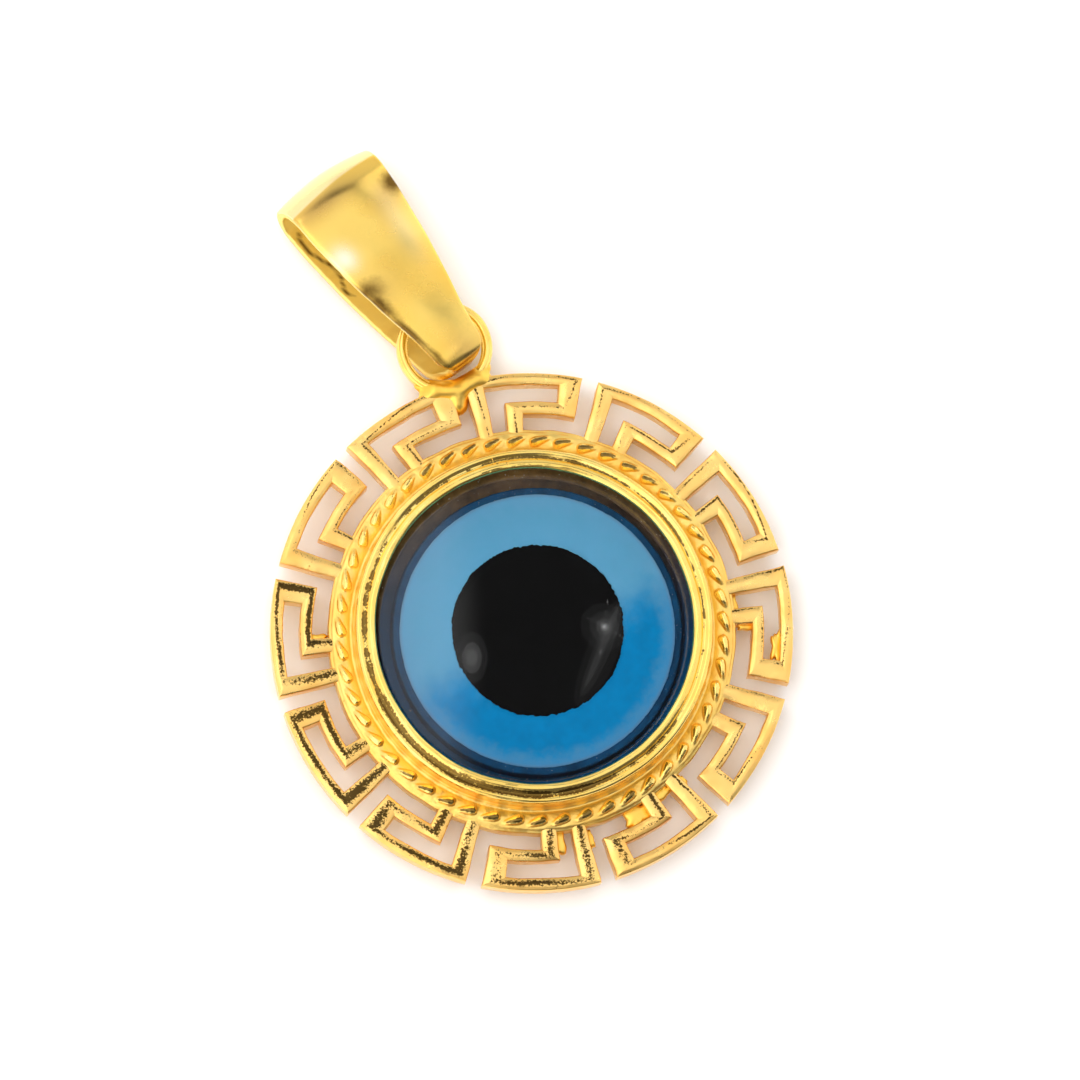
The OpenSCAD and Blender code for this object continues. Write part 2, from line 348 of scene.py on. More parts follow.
goldFinish = {
    "light": (1.0, 0.73, 0.21),
    "deep": (1.0, 0.64, 0.13),
    "toneSize": 1.6,            # mm across the changes of tone
    "toneEdges": (0.38, 0.70),  # noise levels between which the tone changes
    "polish": (0.16, 0.30),     # roughness from the best to the dullest place
    "polishEdges": (0.35, 0.70),
    "hammer": 0.010,            # mm deep, soft unevenness
    "hammerSize": 0.55,
    "grain": 0.0016,            # mm deep, fine grain
    "grainSize": 0.05,
    "pits": 0.02,               # mm deep, casting pits
    "pitSize": 0.16,
    "pitEdges": (0.10, 0.30),   # share of its cell where a pit is deepest and where it ends
    "pitPatches": 9.0,          # size of the places with pits, in pits
    "pitShare": 0.60,           # noise level above which pits appear, fully so a little above it
    "pitFade": 0.08,
    "pitColour": (0.45, 0.25, 0.06),
    # colour of the painted shade and painted dark reflections
    "paintedDarkColour": (0.13, 0.065, 0.012),
    "scratchStretch": (24.0, 1.0, 1.0),
    "paintedDarkNoise": (0.25, 0.75),
    "crestEdges": (0.2, 0.8),
    "foldHighlightEdges": (-0.004, 0.004),
}


# Polished cast gold: slow changes of tone, uneven polish, fine grain, and pits where a noise is high.
# Attributes of the mesh add painted shade and painted dark reflections, polished crests, a rough inside
# painted lighter, and the bail's painted highlights and painted tan shade.
def goldMaterial(name, changes=None, scratches=None, paintedDarks=None, crests=None, inside=None, paintedLight=None):
    gold = {**goldFinish, **(changes or {})}
    tree = newMaterial(name)
    place = tree.objectPlace()
    tone = tree.ramp(tree.noise(place, gold["toneSize"], 2.0), gold["toneEdges"])
    colour = tree.mix(tone, gold["light"], gold["deep"])
    uneven = tree.noise(place, gold["toneSize"] * 0.5, 4.0)
    roughness = tree.ramp(uneven, gold["polishEdges"], gold["polish"])
    normal = tree.bump(tree.noise(place, gold["hammerSize"], 2.0, 0.45), gold["hammer"])
    normal = tree.bump(tree.noise(place, gold["grainSize"], 2.0, 0.6), gold["grain"], normal)
    if gold["pits"] > 0:
        cells = tree.add("TexVoronoi", "Distance", {"Scale": 1 / (gold["pitSize"] * mm), "Vector": place})
        where = tree.noise(place, gold["pitSize"] * gold["pitPatches"], 3.0)
        spared = tree.ramp(where, (gold["pitShare"] + gold["pitFade"], gold["pitShare"]))
        pits = tree.math("MAXIMUM", tree.ramp(cells, gold["pitEdges"]), spared)
        normal = tree.bump(pits, gold["pits"], normal)
        colour = tree.mix(pits, gold["pitColour"], colour)
    if scratches is not None:
        along = tree.stretched(place, scratches["angle"], gold["scratchStretch"])
        normal = tree.bump(tree.noise(along, scratches["size"], 4.0, 0.7), scratches["depth"], normal)
    # the inside is painted a lighter gold for the light it catches, and is rough as cast
    if inside is not None:
        share = tree.attribute("inside")
        colour = tree.mix(share, colour, inside["colour"])
        roughness = tree.math("MAXIMUM", roughness, tree.math("MULTIPLY", share, inside["roughness"]))
    # painted tan shade and painted highlights on the bail's front, and a pale painted highlight over its
    # fold
    if paintedLight is not None:
        for label, tint in paintedLight["paintedTints"].items():
            colour = tree.mix(tree.attribute(label), colour, tint)
        foldHighlight = tree.ramp(tree.attribute("foldHighlight"), gold["foldHighlightEdges"])
        colour = tree.mix(tree.math("MULTIPLY", foldHighlight, paintedLight["foldHighlightAmount"]), colour, paintedLight["foldHighlightColour"])
    if crests is not None:
        crest = tree.attribute("crest")
        colour = tree.mix(crest, colour, crests["colour"])
        polished = tree.ramp(crest, gold["crestEdges"], (1.0, crests["polish"]))
        roughness = tree.math("MULTIPLY", roughness, polished)
    # painted shade and painted dark reflections from a mesh attribute, with ragged edges
    if paintedDarks is not None:
        ragged = paintedDarks["ragged"]
        uneven = tree.ramp(tree.noise(place, paintedDarks["size"], 5.0, 0.7), gold["paintedDarkNoise"], (-ragged, ragged))
        paintedDark = tree.math("ADD", tree.attribute("paintedDark"), uneven)
        colour = tree.mix(tree.ramp(paintedDark, paintedDarks["edge"], (0.0, paintedDarks["amount"])), colour, gold["paintedDarkColour"])
    return tree.finish({"Base Color": colour, "Roughness": roughness, "Normal": normal, "Metallic": 1.0})


# the rim's gold, with painted shade in the groove between its beads
goldRim = goldMaterial("rimGold", {"polish": (0.14, 0.26), "pitShare": 0.66},
                       paintedDarks={"size": 0.10, "ragged": 0.70, "edge": (0.52, 0.72), "amount": 0.9})
# the keys' gold, whose painted dark reflections are nearly black
goldKeys = goldMaterial("keyGold", {"light": (1.0, 0.66, 0.21), "deep": (1.0, 0.58, 0.15), "hammer": 0.022,
                                    "hammerSize": 0.45, "polish": (0.24, 0.42), "pitShare": 0.64,
                                    "paintedDarkColour": (0.055, 0.032, 0.008)},
                        {"angle": 37.0, "depth": 0.0012, "size": 0.045},
                        paintedDarks={"size": 0.085, "ragged": 0.70, "edge": (0.52, 0.66), "amount": 0.97})
# the rope's gold: painted dark reflections on its twists, polished crests
goldRope = goldMaterial("ropeGold", {"light": (1.0, 0.70, 0.20), "deep": (1.0, 0.61, 0.13),
                                     "polish": (0.32, 0.46), "hammer": 0.032, "hammerSize": 0.3,
                                     "pitShare": 0.70},
                        paintedDarks={"size": 0.20, "ragged": 0.30, "edge": (0.45, 0.70), "amount": 0.88},
                        crests={"colour": (1.0, 0.74, 0.22), "polish": 0.5})
goldSolder = goldMaterial("solderGold", {"light": (1.0, 0.66, 0.13), "deep": (1.0, 0.54, 0.07),
                                         "polish": (0.28, 0.40), "hammer": 0.03, "pitShare": 0.72})
goldLoop = goldMaterial("loopGold", {"polish": (0.14, 0.26), "pitShare": 0.70})
goldBail = goldMaterial("bailGold", {"hammer": 0.004, "hammerSize": 1.4, "toneSize": 3.0, "pits": 0.0,
                                     "grain": 0.0006, "polish": (0.20, 0.32), "light": (1.0, 0.70, 0.17),
                                     "deep": (1.0, 0.63, 0.11)},
                        {"angle": 52.0, "depth": 0.0010, "size": 0.04},
                        paintedDarks={"size": 0.25, "ragged": 0.12, "edge": (0.15, 0.95), "amount": 0.95},
                        # inside painted lighter for the light it catches, and rough
                        inside={"colour": (1.0, 0.80, 0.26), "roughness": 0.55},
                        # painted tan shade and highlights, and the pale painted highlight on the fold
                        paintedLight={"paintedTints": {"tan": (0.58, 0.36, 0.11), "highlight": (1.0, 0.95, 0.72)},
                                "foldHighlightAmount": 0.75, "foldHighlightColour": (1.0, 0.84, 0.46)})


# The sizes of the eye, which the wall round it needs too

eye = {
    "shift": (0.18 * math.cos(math.radians(-27)), 0.18 * math.sin(math.radians(-27))),
    "navyRadius": 5.40,
    "irisRadius": 5.14,
    "pupilRadius": 3.20,
    "navyBottom": 0.42,
    "navyTop": 1.24,
    "irisBottom": 1.26,
    "irisTop": 1.31,
    "pupilBottom": 1.33,
    "pupilTop": 1.38,
    "clearRadius": 6.12,
    "clearBottom": 1.40,
    "clearSide": 2.0,           # height of a point up its side
    "clearEdge": 2.55,
    "clearTop": 3.45,
    "clearBevel": 0.05,         # of its lower edge
    "clearRound": 0.03,         # below its upper edge
    "clearCap": 0.995,          # share of the sphere's cap that is kept, from the top
    "clearCapSteps": 60,
    "clearFlatSteps": 16,
    "clearSteps": 360,
    "discSteps": 540,
}


# Position in mm from the eye's middle, and the distance from it
def eyePlace(tree, place):
    shift = (eye["shift"][0] * mm, eye["shift"][1] * mm, 0)
    moved = tree.add("VectorMath", "Vector", {0: place, 1: shift}, operation="SUBTRACT")
    flat = tree.add("VectorMath", "Vector", {0: moved, 1: (1 / mm, 1 / mm, 0)}, operation="MULTIPLY")
    return flat, tree.add("VectorMath", "Value", {0: flat}, operation="LENGTH")


wallShade = {
    "stretch": (9.0, 9.0, 1.0),  # of the streaks, which run round the wall
    "streak": 0.12,             # mm, their width
    "streakEdges": (0.28, 0.80),
    "relief": 0.015,            # mm deep
    "polishEdges": (0.3, 0.7),
    "polish": (0.28, 0.45),     # roughness
    "dustSize": 0.07,
    "dustEdges": (0.70, 0.75),
    "dustColour": (0.75, 0.68, 0.55),
    "towards": 88.0,            # image direction of the wall that catches the light
    "litEnds": (-2.0, 5.0),     # mm from the middle in that direction where it starts to, and does fully
    # colour of the painted shade away from the light
    "shadow": (0.012, 0.009, 0.007),
    # painted reflection of the blue glass's edge, laid on the ledge
    "glassColour": (0.008, 0.100, 0.250),
    "glassEnds": (5.86, 6.02),  # mm from the eye's middle where the glass's painted blue fades to the wall's painted shade
    "glassLeast": 0.10,         # share of it left where the wall catches the light
}


# Inside wall of the cup: gold painted dark for the shade it lies in, streaked lighter, with pale dust, and
# darker still away from the light, which is painted shade. The ledge below the glass is matt, and painted
# blue where the glass's edge shows, a painted reflection that fades where the wall catches the light.
def wallShadeMaterial(name, dark, light, isLedge=False):
    tree = newMaterial(name)
    place = tree.objectPlace()
    streak = tree.noise(tree.stretched(place, 0.0, wallShade["stretch"]), wallShade["streak"], 4.0, 0.65)
    colour = tree.mix(tree.ramp(streak, wallShade["streakEdges"]), dark, light)
    # painted shade: darker away from the wall that catches the light
    lit = tree.ramp(tree.dot(place, inPlane(wallShade["towards"]) / mm), wallShade["litEnds"], soft=True)
    colour = tree.mix(lit, wallShade["shadow"], colour)
    if isLedge:
        # painted reflection of the glass's blue edge, less where the wall catches the light
        within = tree.ramp(eyePlace(tree, place)[1], wallShade["glassEnds"], (1.0, 0.0), soft=True)
        unlit = tree.ramp(lit, (0.0, 1.0), (1.0, wallShade["glassLeast"]))
        colour = tree.mix(tree.math("MULTIPLY", within, unlit), colour, wallShade["glassColour"])
    speck = tree.ramp(tree.noise(place, wallShade["dustSize"], 2.0, 0.6), wallShade["dustEdges"])
    sockets = {
        "Base Color": tree.mix(speck, colour, wallShade["dustColour"]),
        "Roughness": tree.ramp(streak, wallShade["polishEdges"], wallShade["polish"]),
        "Normal": tree.bump(streak, wallShade["relief"]),
        "Metallic": 0.0 if isLedge else 0.9,
    }
    if isLedge:
        sockets["Specular IOR Level"] = 0.0
    return tree.finish(sockets)


# the cup's inside wall and ledge, painted dark for the shade they lie in
goldDark = wallShadeMaterial("shadedWallGold", (0.060, 0.034, 0.012), (0.80, 0.50, 0.15))
goldBlack = wallShadeMaterial("shadedLedgeGold", (0.110, 0.060, 0.020), (0.38, 0.205, 0.066), isLedge=True)


# The cup

cup = {
    "radius": 6.83,
    "wall": 0.66,
    "back": 0.4,
    "backBevel": 0.2,
    "backRings": (2.0, 4.0, 5.6, 6.53),  # radii of the points of its flat back
    "sideHeights": (0.6, 1.2, 1.8, 2.3),  # of the points up its side
    # the rim's two beads and the groove between them: radius, height
    "rim": [(6.83, 2.60), (6.83, 2.78), (6.82, 2.87), (6.785, 2.94), (6.735, 2.98), (6.68, 2.99),
            (6.625, 2.975), (6.58, 2.94), (6.54, 2.905), (6.49, 2.89), (6.44, 2.905), (6.40, 2.95),
            (6.355, 3.00), (6.30, 3.035), (6.23, 3.05), (6.16, 3.04), (6.10, 3.01), (6.065, 2.96),
            (6.05, 2.89), (6.05, 2.80)],
    "rimPoints": 54,
    "rimHeight": 2.85,          # above which the groove's painted shade lies
    "groove": 6.49,             # radius of the groove
    "grooveWidth": (0.055, 0.15),  # half width of the painted shade in it, where it is least and most
    "grooveTowards": 232.0,     # direction in the image in which it is widest
    "grooveEnds": (-0.1, 0.9),  # how far towards that direction it starts to widen, and is widest
    "grooveRough": [(1.6, 11, 0.25)],
    "grooveShare": 0.75,        # strength of the painted shade, before its breaks
    "grooveBreaks": [(2.2, 18, 0.45), (0.5, 12, 0.40)],
    "insideHeights": (2.2, 1.8),
    "ledgeHeight": 1.38,
    "ledgeWidth": 0.45,
    "ledgeStep": 0.2,           # from the wall to a point on the ledge
    "wellHeight": 0.9,          # of a point in the well below the ledge
    "lipHeight": 2.60,
    "lipTop": 2.70,
    "soft": 0.03,               # of the corners inside
    "floorRing": 3.0,
    "waver": [(5.0, 13, 0.014), (1.3, 14, 0.007)],   # of the rim to the side
    "lift": [(3.1, 15, 0.012), (0.9, 16, 0.006)],    # and in height
    "waverFrom": 2.3,           # height from which it wavers, fully so a little above it
    "waverRise": 0.5,
    "edgeWidth": 0.1,           # of the outer edge, which wavers less
    "edgeCalm": 0.7,
    "liftRadius": 6.2,          # inside which the lip's height stays
    "steps": 720,
    "darkColumns": 13,          # outline points that belong to the inside, painted in shade
    "blackColumns": 9,          # and of those the ones from the foot of its wall on
}


# Half section of the cup, from the middle of its back round the rim to the middle of its floor
def cupOutline(c):
    inside = c["radius"] - c["wall"]
    ledge = inside - c["ledgeWidth"]
    ledgeHeight, soft, bevel = c["ledgeHeight"], c["soft"], c["backBevel"]
    return np.vstack([
        [(0, 0)] + [(radius, 0) for radius in c["backRings"]],
        arc((c["radius"] - bevel, bevel), bevel, -90, 0, 7),
        [(c["radius"], height) for height in c["sideHeights"]],
        softLine(c["rim"], c["rimPoints"]),
        [(inside - soft, c["lipTop"]), (inside, c["lipHeight"])],
        [(inside, height) for height in c["insideHeights"]],
        [(inside, ledgeHeight + soft), (inside - soft, ledgeHeight), (inside - c["ledgeStep"], ledgeHeight),
         (ledge + soft, ledgeHeight), (ledge, ledgeHeight - soft), (ledge, c["wellHeight"]),
         (ledge, c["back"]), (c["floorRing"], c["back"]), (0, c["back"])],
    ])


# The rim wavers a little, and the painted shade in its groove comes and goes
def makeCup(c):
    outline = cupOutline(c)
    found = {}

    def shape(angle, radius, height):
        ring = ringPoints(angle, 7)
        most = softStep(towardsImage(np.cos(angle), np.sin(angle), c["grooveTowards"]), *c["grooveEnds"])
        width = between(c["grooveWidth"], most) * (1 + unevenness(ring, c["grooveRough"]))
        broken = np.clip(c["grooveShare"] + unevenness(ring, c["grooveBreaks"]) + most, 0, 1.2)
        # painted shade in the groove, widest towards one image direction
        grooveShade = np.exp(-((radius - c["groove"]) / width) ** 4) * (height > c["rimHeight"])
        found["paintedDark"] = np.clip(grooveShade * broken, 0, 1)
        rim = np.clip((height - c["waverFrom"]) / c["waverRise"], 0, 1)
        outerEdge = np.clip(1 - (c["radius"] - radius) / c["edgeWidth"], 0, 1)
        radius = radius + rim * unevenness(ring, c["waver"]) * (1 - c["edgeCalm"] * outerEdge)
        height = height + rim * unevenness(ring, c["lift"]) * (radius > c["liftRadius"])
        return radius, height

    points, faces = revolved(outline, c["steps"], shape=shape)
    sections = len(outline) - 2
    column = np.tile(np.arange(sections - 1), c["steps"])
    depth = (column >= sections - c["darkColumns"]).astype(int) + (column >= sections - c["blackColumns"])
    slots = np.concatenate([depth, np.zeros(c["steps"]), np.full(c["steps"], 2)])
    paintedDark = np.concatenate([found["paintedDark"].ravel(), [0, 0]])
    return makePiece("cup", points, faces, [goldRim, goldDark, goldBlack], "setting", ["setting"],
                     slots=slots, values={"paintedDark": paintedDark})


makeCup(cup)


# The key border

border = {
    "radius": 10.0,
    "top": 1.6,
    "bottom": 0.65,
    "outerArc": 0.47,
    "slot": 0.64,
    "innerArc": 0.48,
    "channel": 0.61,
    "gap": 0.56,
    "endArm": 0.76,
    "longFoot": 0.65,
    "footGap": 0.65,
    "shortFoot": 0.68,
    "keys": 12,
    "firstGap": 90.0,
    "rounding": 0.075,          # radius of the strips' upper edges
    "roundingSteps": 5,
    "bevel": 0.03,              # of their lower edges
    "crown": 0.035,             # rise of a strip's middle
    "crownShares": (0.86, 0.72, 0.58, 0.44, 0.3, 0.15, 0.0),  # points of a strip's top, from its edge
    "darkTowards": 67.0,        # image direction towards which the strips' painted dark reflections lie
    "darkShift": (0.80, 0.20),  # how far, as a share of the half width, where they are least and most
    "darkWidth": (0.20, 0.68),
    "darkStrength": (0.60, 0.94),
    "darkPatches": [(2.4, 27, 0.30)],
    "darkMost": 235.0,          # image direction in which the darkest keys lie
    "darkEnds": (0.0, 0.95),    # how far towards that direction they start to darken, and are darkest
    "darkHeights": (0.09, 0.03),  # below the top, where the reflections end
    "footEnd": 7.35,            # radius where the feet end inside the base ring
    "steps": 18,                # points along each stretch
    "crowding": 0.06,           # how close they lie to the turns
    "flatten": 0.3,             # of the unevenness, in height
    # unevenness in x, y and z
    "waver": [[(1.9, 21, 0.018), (0.7, 25, 0.008)], [(1.9, 22, 0.018), (0.7, 26, 0.008)],
              [(2.6, 23, 0.018), (0.9, 24, 0.008)]],
    "calmWidth": 0.2,           # of the outer edge, which wavers least, and its share
    "calmShare": 0.2,
    "calmHeight": 0.2,          # over the bottom, above which the height wavers
}
border["baseRing"] = (border["radius"] - border["outerArc"] - border["slot"] - border["innerArc"]
                      - border["channel"])
border["middle"] = (border["radius"] + border["baseRing"]) / 2


# Angle of an arc of that length at the middle of the border's width
def arcDegrees(length):
    return math.degrees(length / border["middle"])


# Section of a strip as arrays: side, inset from the edge, share of the half width, height
def stripSection(b):
    r, low, top = b["rounding"], b["bottom"], b["top"]
    turn = np.radians(np.linspace(0, 90, b["roundingSteps"]))
    wall = [(-1, b["bevel"], 1, low), (-1, 0, 1, low + b["bevel"]), (-1, 0, 1, (low + top) / 2)]
    edge = [(-1, r * (1 - math.cos(t)), 1, top - r + r * math.sin(t)) for t in turn]
    middle = [(-1, r, f, top + b["crown"] * (1 - f * f)) for f in b["crownShares"]]
    left = wall + edge + middle
    right = [(1, e, f, z) for _, e, f, z in reversed(left[:-1])]
    return np.array(left + right, dtype=float).T


# Points of one key: the section carried along foot, outer arc, end arm, inner arc and foot, mitred where
# they meet
def keyPoints(b):
    side, inset, share, height = stripSection(b)
    span = 360 / b["keys"] - arcDegrees(b["gap"])
    longFoot = span - arcDegrees(b["longFoot"]) / 2
    footGap = span - arcDegrees(b["longFoot"]) - arcDegrees(b["footGap"])
    shortFoot = footGap - arcDegrees(b["shortFoot"]) / 2
    endArm = arcDegrees(b["endArm"]) / 2
    outer = b["radius"] - b["outerArc"] / 2
    inner = b["radius"] - b["outerArc"] - b["slot"] - b["innerArc"] / 2

    def across(width, direction):
        return direction * side * (width / 2 - inset) * share

    # offset of a radial strip in degrees: its edges are true radii and its roundings keep their size
    def aside(width, direction, radius):
        half = arcDegrees(width) / 2
        return direction * side * (half - np.degrees(inset / radius)) * share

    outerArc = outer + across(b["outerArc"], 1)
    innerArc = inner + across(b["innerArc"], -1)
    end = np.full(len(side), b["footEnd"])
    # at each end of a stretch, the angles and the radii of the section's points
    corner = np.array([
        (longFoot + aside(b["longFoot"], 1, b["footEnd"]), end),
        (longFoot + aside(b["longFoot"], 1, outer), outerArc),
        (endArm + aside(b["endArm"], -1, outer), outerArc),
        (endArm + aside(b["endArm"], -1, inner), innerArc),
        (shortFoot + aside(b["shortFoot"], -1, inner), innerArc),
        (shortFoot + aside(b["shortFoot"], -1, b["footEnd"]), end),
    ])
    spread = np.linspace(b["crowding"], 1 - b["crowding"], b["steps"])
    along = np.concatenate([[0.0], 0.5 - 0.5 * np.cos(spread * math.pi)])
    stations = (corner[:-1, None] * (1 - along)[None, :, None, None]
                + corner[1:, None] * along[None, :, None, None])
    stations = np.concatenate([stations.reshape(-1, 2, len(side)), corner[-1:]])
    return stations[:, 0], stations[:, 1], np.broadcast_to(height, stations[:, 0].shape)


# Painted dark reflections: where the rounded top of a strip leans one way, broad on the keys that face the
# view
def keyShade(points, b):
    flat = points[..., :2]
    middle = (flat[:, :, :1] + flat[:, :, -1:]) / 2
    sideways = (flat[:, :, -1:] - flat[:, :, :1]) / 2
    half = np.maximum(np.linalg.norm(sideways, axis=-1, keepdims=True), 1e-6)
    sideways = sideways / half
    across = ((flat - middle) * sideways).sum(axis=-1) / half[..., 0]
    lean = inPlane(b["darkTowards"])
    leaning = sideways[..., 0] * lean.x + sideways[..., 1] * lean.y
    most = softStep(towardsImage(middle[..., 0], middle[..., 1], b["darkMost"]), *b["darkEnds"])
    shift = between(b["darkShift"], most) * leaning
    width = between(b["darkWidth"], most)
    strength = between(b["darkStrength"], most) + unevenness(points * np.array([1, 1, 0]), b["darkPatches"])
    upper = softStep(points[..., 2], *(b["top"] - depth for depth in b["darkHeights"]))
    return np.clip(strength * np.exp(-((across - shift) / width) ** 2) * upper, 0, 1)


def makeKeys(b):
    angle, radius, height = keyPoints(b)
    count = b["keys"]
    start = b["firstGap"] + arcDegrees(b["gap"]) / 2 + np.arange(count) * 360 / count
    turned = np.radians(angle[None] + start[:, None, None])
    radius = np.broadcast_to(radius[None], turned.shape)
    height = np.broadcast_to(height[None], turned.shape)
    points = roundPoints(turned, radius, height)
    shade = keyShade(points, b)
    flat = points * np.array([1, 1, b["flatten"]])
    inward = np.clip((b["radius"] - radius) / b["calmWidth"], b["calmShare"], 1)
    upper = (height > b["bottom"] + b["calmHeight"])
    for axis, share in enumerate((inward, inward, upper)):
        points[..., axis] += unevenness(flat, b["waver"][axis]) * share
    rows, columns = angle.shape
    block = rows * columns
    middle = points[:, [0, -1]].mean(axis=2).reshape(count * 2, 3)
    points = np.vstack([points.reshape(-1, 3), middle])
    # painted dark reflections on the keys' tops, none on the end caps
    paintedDarks = np.concatenate([shade.ravel(), np.zeros(count * 2)])
    sides = repeated(gridFaces(rows, columns), count, block)
    ring = np.arange(columns)
    starts = [fanFaces(k * block + ring, count * block + 2 * k) for k in range(count)]
    ends = [fanFaces(k * block + block - columns + ring, count * block + 2 * k + 1, flip=True)
            for k in range(count)]
    faces = [sides] + starts + ends
    return makePiece("keyBorder", points, faces, [goldKeys], "setting", ["setting"],
                     values={"paintedDark": paintedDarks})


makeKeys(border)


# The base ring and the rope on it

rope = {
    "radius": 7.38,             # of the circle on which the twists lie
    "twists": 51,
    "length": 0.92,             # of one twist
    "width": 0.40,
    "slant": 20.0,              # between a twist and the run of the rope
    "rise": 0.19,               # of a twist over the wire
    "wire": 0.10,               # rise of the wire over the border
    "wireHalf": 0.40,           # half its width
    "wireRound": 0.7,           # exponent of its section
    "round": 0.55,              # exponent of a twist's section
    "tail": 0.45,               # share of a twist's length over which it rises, and falls at its head
    "head": 0.16,
    "differ": [(1.7, 47, 1.0)],  # how the twists differ, and its shares in their length and height
    "differLength": 0.05,
    "differHeight": 0.12,
    "cove": 7.00,               # radius of the bare strip beside the cup
    "sunk": 0.015,              # of the base ring below the keys' top
    "inside": 6.6,              # radius where the ring ends in the cup's wall
    "bevel": 0.04,
    # the fillet up the cup's wall: radius, rise
    "fillet": [(6.93, 0.02), (6.87, 0.09), (6.82, 0.20), (6.6, 0.20)],
    "darkSide": 0.15,           # where a twist's painted dark reflection lies, as a share of its half width
    "darkWidth": 0.5,
    "darkTail": (0.12, 0.30),   # shares of the length over which it starts and ends
    "darkHead": (0.04, 0.14),
    "darkTowards": 88.0,        # image direction in which, and against which, the twists are darkest
    "darkEnds": (0.55, 0.90),
    "crestEnds": (0.35, 0.75),  # relief from which a twist is polished, and is fully
    "ripple": [(0.5, 33, 0.006)],
    "fade": (0.07, 0.16),       # from the outer edge, where the relief starts and is full
    "edgeWaver": [(1.1, 31, 0.016)],
    "edgeFrom": 7.6,            # radius from which the outer edge wavers, and the width of the change
    "edgeWidth": 0.15,
    "samplesPerTwist": 30,
    "samplesAcross": 40,
    # half outline of one twist: share of its length from the tail, share of half its width
    "outline": [(0, 0), (0.04, 0.25), (0.18, 0.5), (0.36, 0.7), (0.52, 0.86), (0.68, 1), (0.83, 0.94),
                (0.95, 0.62), (1, 0)],
}


# Height of the rope over the border's top, how much of it is twist, and its painted dark reflections.
# In each twist's own directions, across and along it, the height is a rounded ridge inside a teardrop.
def ropeRelief(r, angle, radius):
    pitch = 2 * math.pi / r["twists"]
    aside = radius - r["radius"]
    wire = r["wire"] * np.clip(1 - (aside / r["wireHalf"]) ** 2, 0, 1) ** r["wireRound"]
    slant = math.radians(r["slant"])
    table = np.array(r["outline"])
    relief = np.zeros_like(radius)
    dark = np.zeros_like(radius)
    for neighbour in (-1, 0, 1):
        number = np.round(angle / pitch) + neighbour
        along = (angle - number * pitch) * r["radius"]
        differ = unevenness(ringPoints(number[:, :1] * pitch, 7), r["differ"])
        x = aside * math.cos(slant) + along * math.sin(slant)
        length = r["length"] * (1 + r["differLength"] * differ)
        y = (-aside * math.sin(slant) + along * math.cos(slant)) / length + 0.5
        half = np.interp(y, table[:, 0], table[:, 1]) * r["width"] / 2 + 1e-6
        across = np.clip(1 - (x / half) ** 2, 0, 1) ** r["round"]
        lengthwise = softStep(y, 0.0, r["tail"]) * softStep(1 - y, 0.0, r["head"])
        height = across * lengthwise * (half * 2 / r["width"]) ** 0.5 * (1 + r["differHeight"] * differ)
        relief = np.maximum(relief, height)
        slot = np.exp(-((x / half - r["darkSide"]) / r["darkWidth"]) ** 2)
        dark = np.maximum(dark, slot * softStep(y, *r["darkTail"]) * softStep(1 - y, *r["darkHead"]))
    return wire + r["rise"] * relief, relief, dark


def makeRopeRing(r, b):
    edge, low, corner = b["baseRing"], b["bottom"], b["rounding"]
    top = b["top"] - r["sunk"]
    upper = np.linspace(edge - corner - 0.02, r["cove"], r["samplesAcross"])
    outline = np.vstack([
        [(r["inside"], low), (edge - r["bevel"], low), (edge, low + r["bevel"]), (edge, (top + low) / 2)],
        arc((edge - corner, top - corner), corner, 0, 90, b["roundingSteps"]),
        np.stack([upper, np.full(len(upper), top)], axis=-1),
        [(radius, top + rise) for radius, rise in r["fillet"]],
    ])
    found = {}

    def shape(angle, radius, height):
        ring = ringPoints(angle, 7.8)
        outside = np.clip((radius - r["edgeFrom"]) / r["edgeWidth"], 0, 1)
        isTop = (height >= top - 1e-6) & (radius > r["cove"] - 0.01) & (radius < edge - 0.05)
        relief, crest, dark = ropeRelief(r, np.broadcast_to(angle, radius.shape), radius)
        facing = np.abs(towardsImage(np.cos(angle), np.sin(angle), r["darkTowards"]))
        # painted dark reflections on the twists that face towards and against one image direction
        found["paintedDark"] = np.clip(dark * isTop * softStep(facing, *r["darkEnds"]), 0, 1)
        found["crest"] = softStep(crest, *r["crestEnds"]) * isTop
        flat = roundPoints(angle, radius, 0 * radius)
        fade = softStep(edge - radius, *r["fade"])
        height = height + isTop * fade * (relief + unevenness(flat, r["ripple"]))
        return radius + outside * unevenness(ring, r["edgeWaver"]), height

    points, faces = revolved(outline, r["twists"] * r["samplesPerTwist"], shape=shape)
    return makePiece("ropeRing", points, faces, [goldRope], "setting", ["setting"], sharp=75,
                     values={"crest": found["crest"], "paintedDark": found["paintedDark"]})


makeRopeRing(rope, border)


# Solder webs between the keys

webs = {
    # key, start and end as shares of the key's span, start and end as shares of the way to the outer edge
    "places": [
        (6, 0.30, 0.53, -0.05, 0.30),
        (6, 0.67, 0.85, -0.05, 0.14),
        (6, 0.99, 1.04, 0.02, 0.22),
        (5, 0.99, 1.05, 0.04, 0.34),
        (5, 0.67, 0.76, -0.05, 0.36),
        (8, 0.20, 0.44, 0.64, 0.80),
        (8, 0.67, 0.85, -0.05, 0.08),
        (8, 0.47, 0.53, 0.05, 0.30),
        (2, 0.46, 0.53, 0.03, 0.30),
    ],
    "spread": 1.12,             # how much larger than its CAD plate a web is, to meet the metal
    "height": 0.45,
    "bottom": 0.75,
    "square": 0.6,              # exponents of its outline and of its section: 1 is round
    "thick": 0.35,
    "ragged": [(1.2, 51, 0.16)],
    "apart": (1.3, 7.0),        # mm round each web's outline and between webs in the unevenness
    "rings": 10,
    "sides": 40,
}


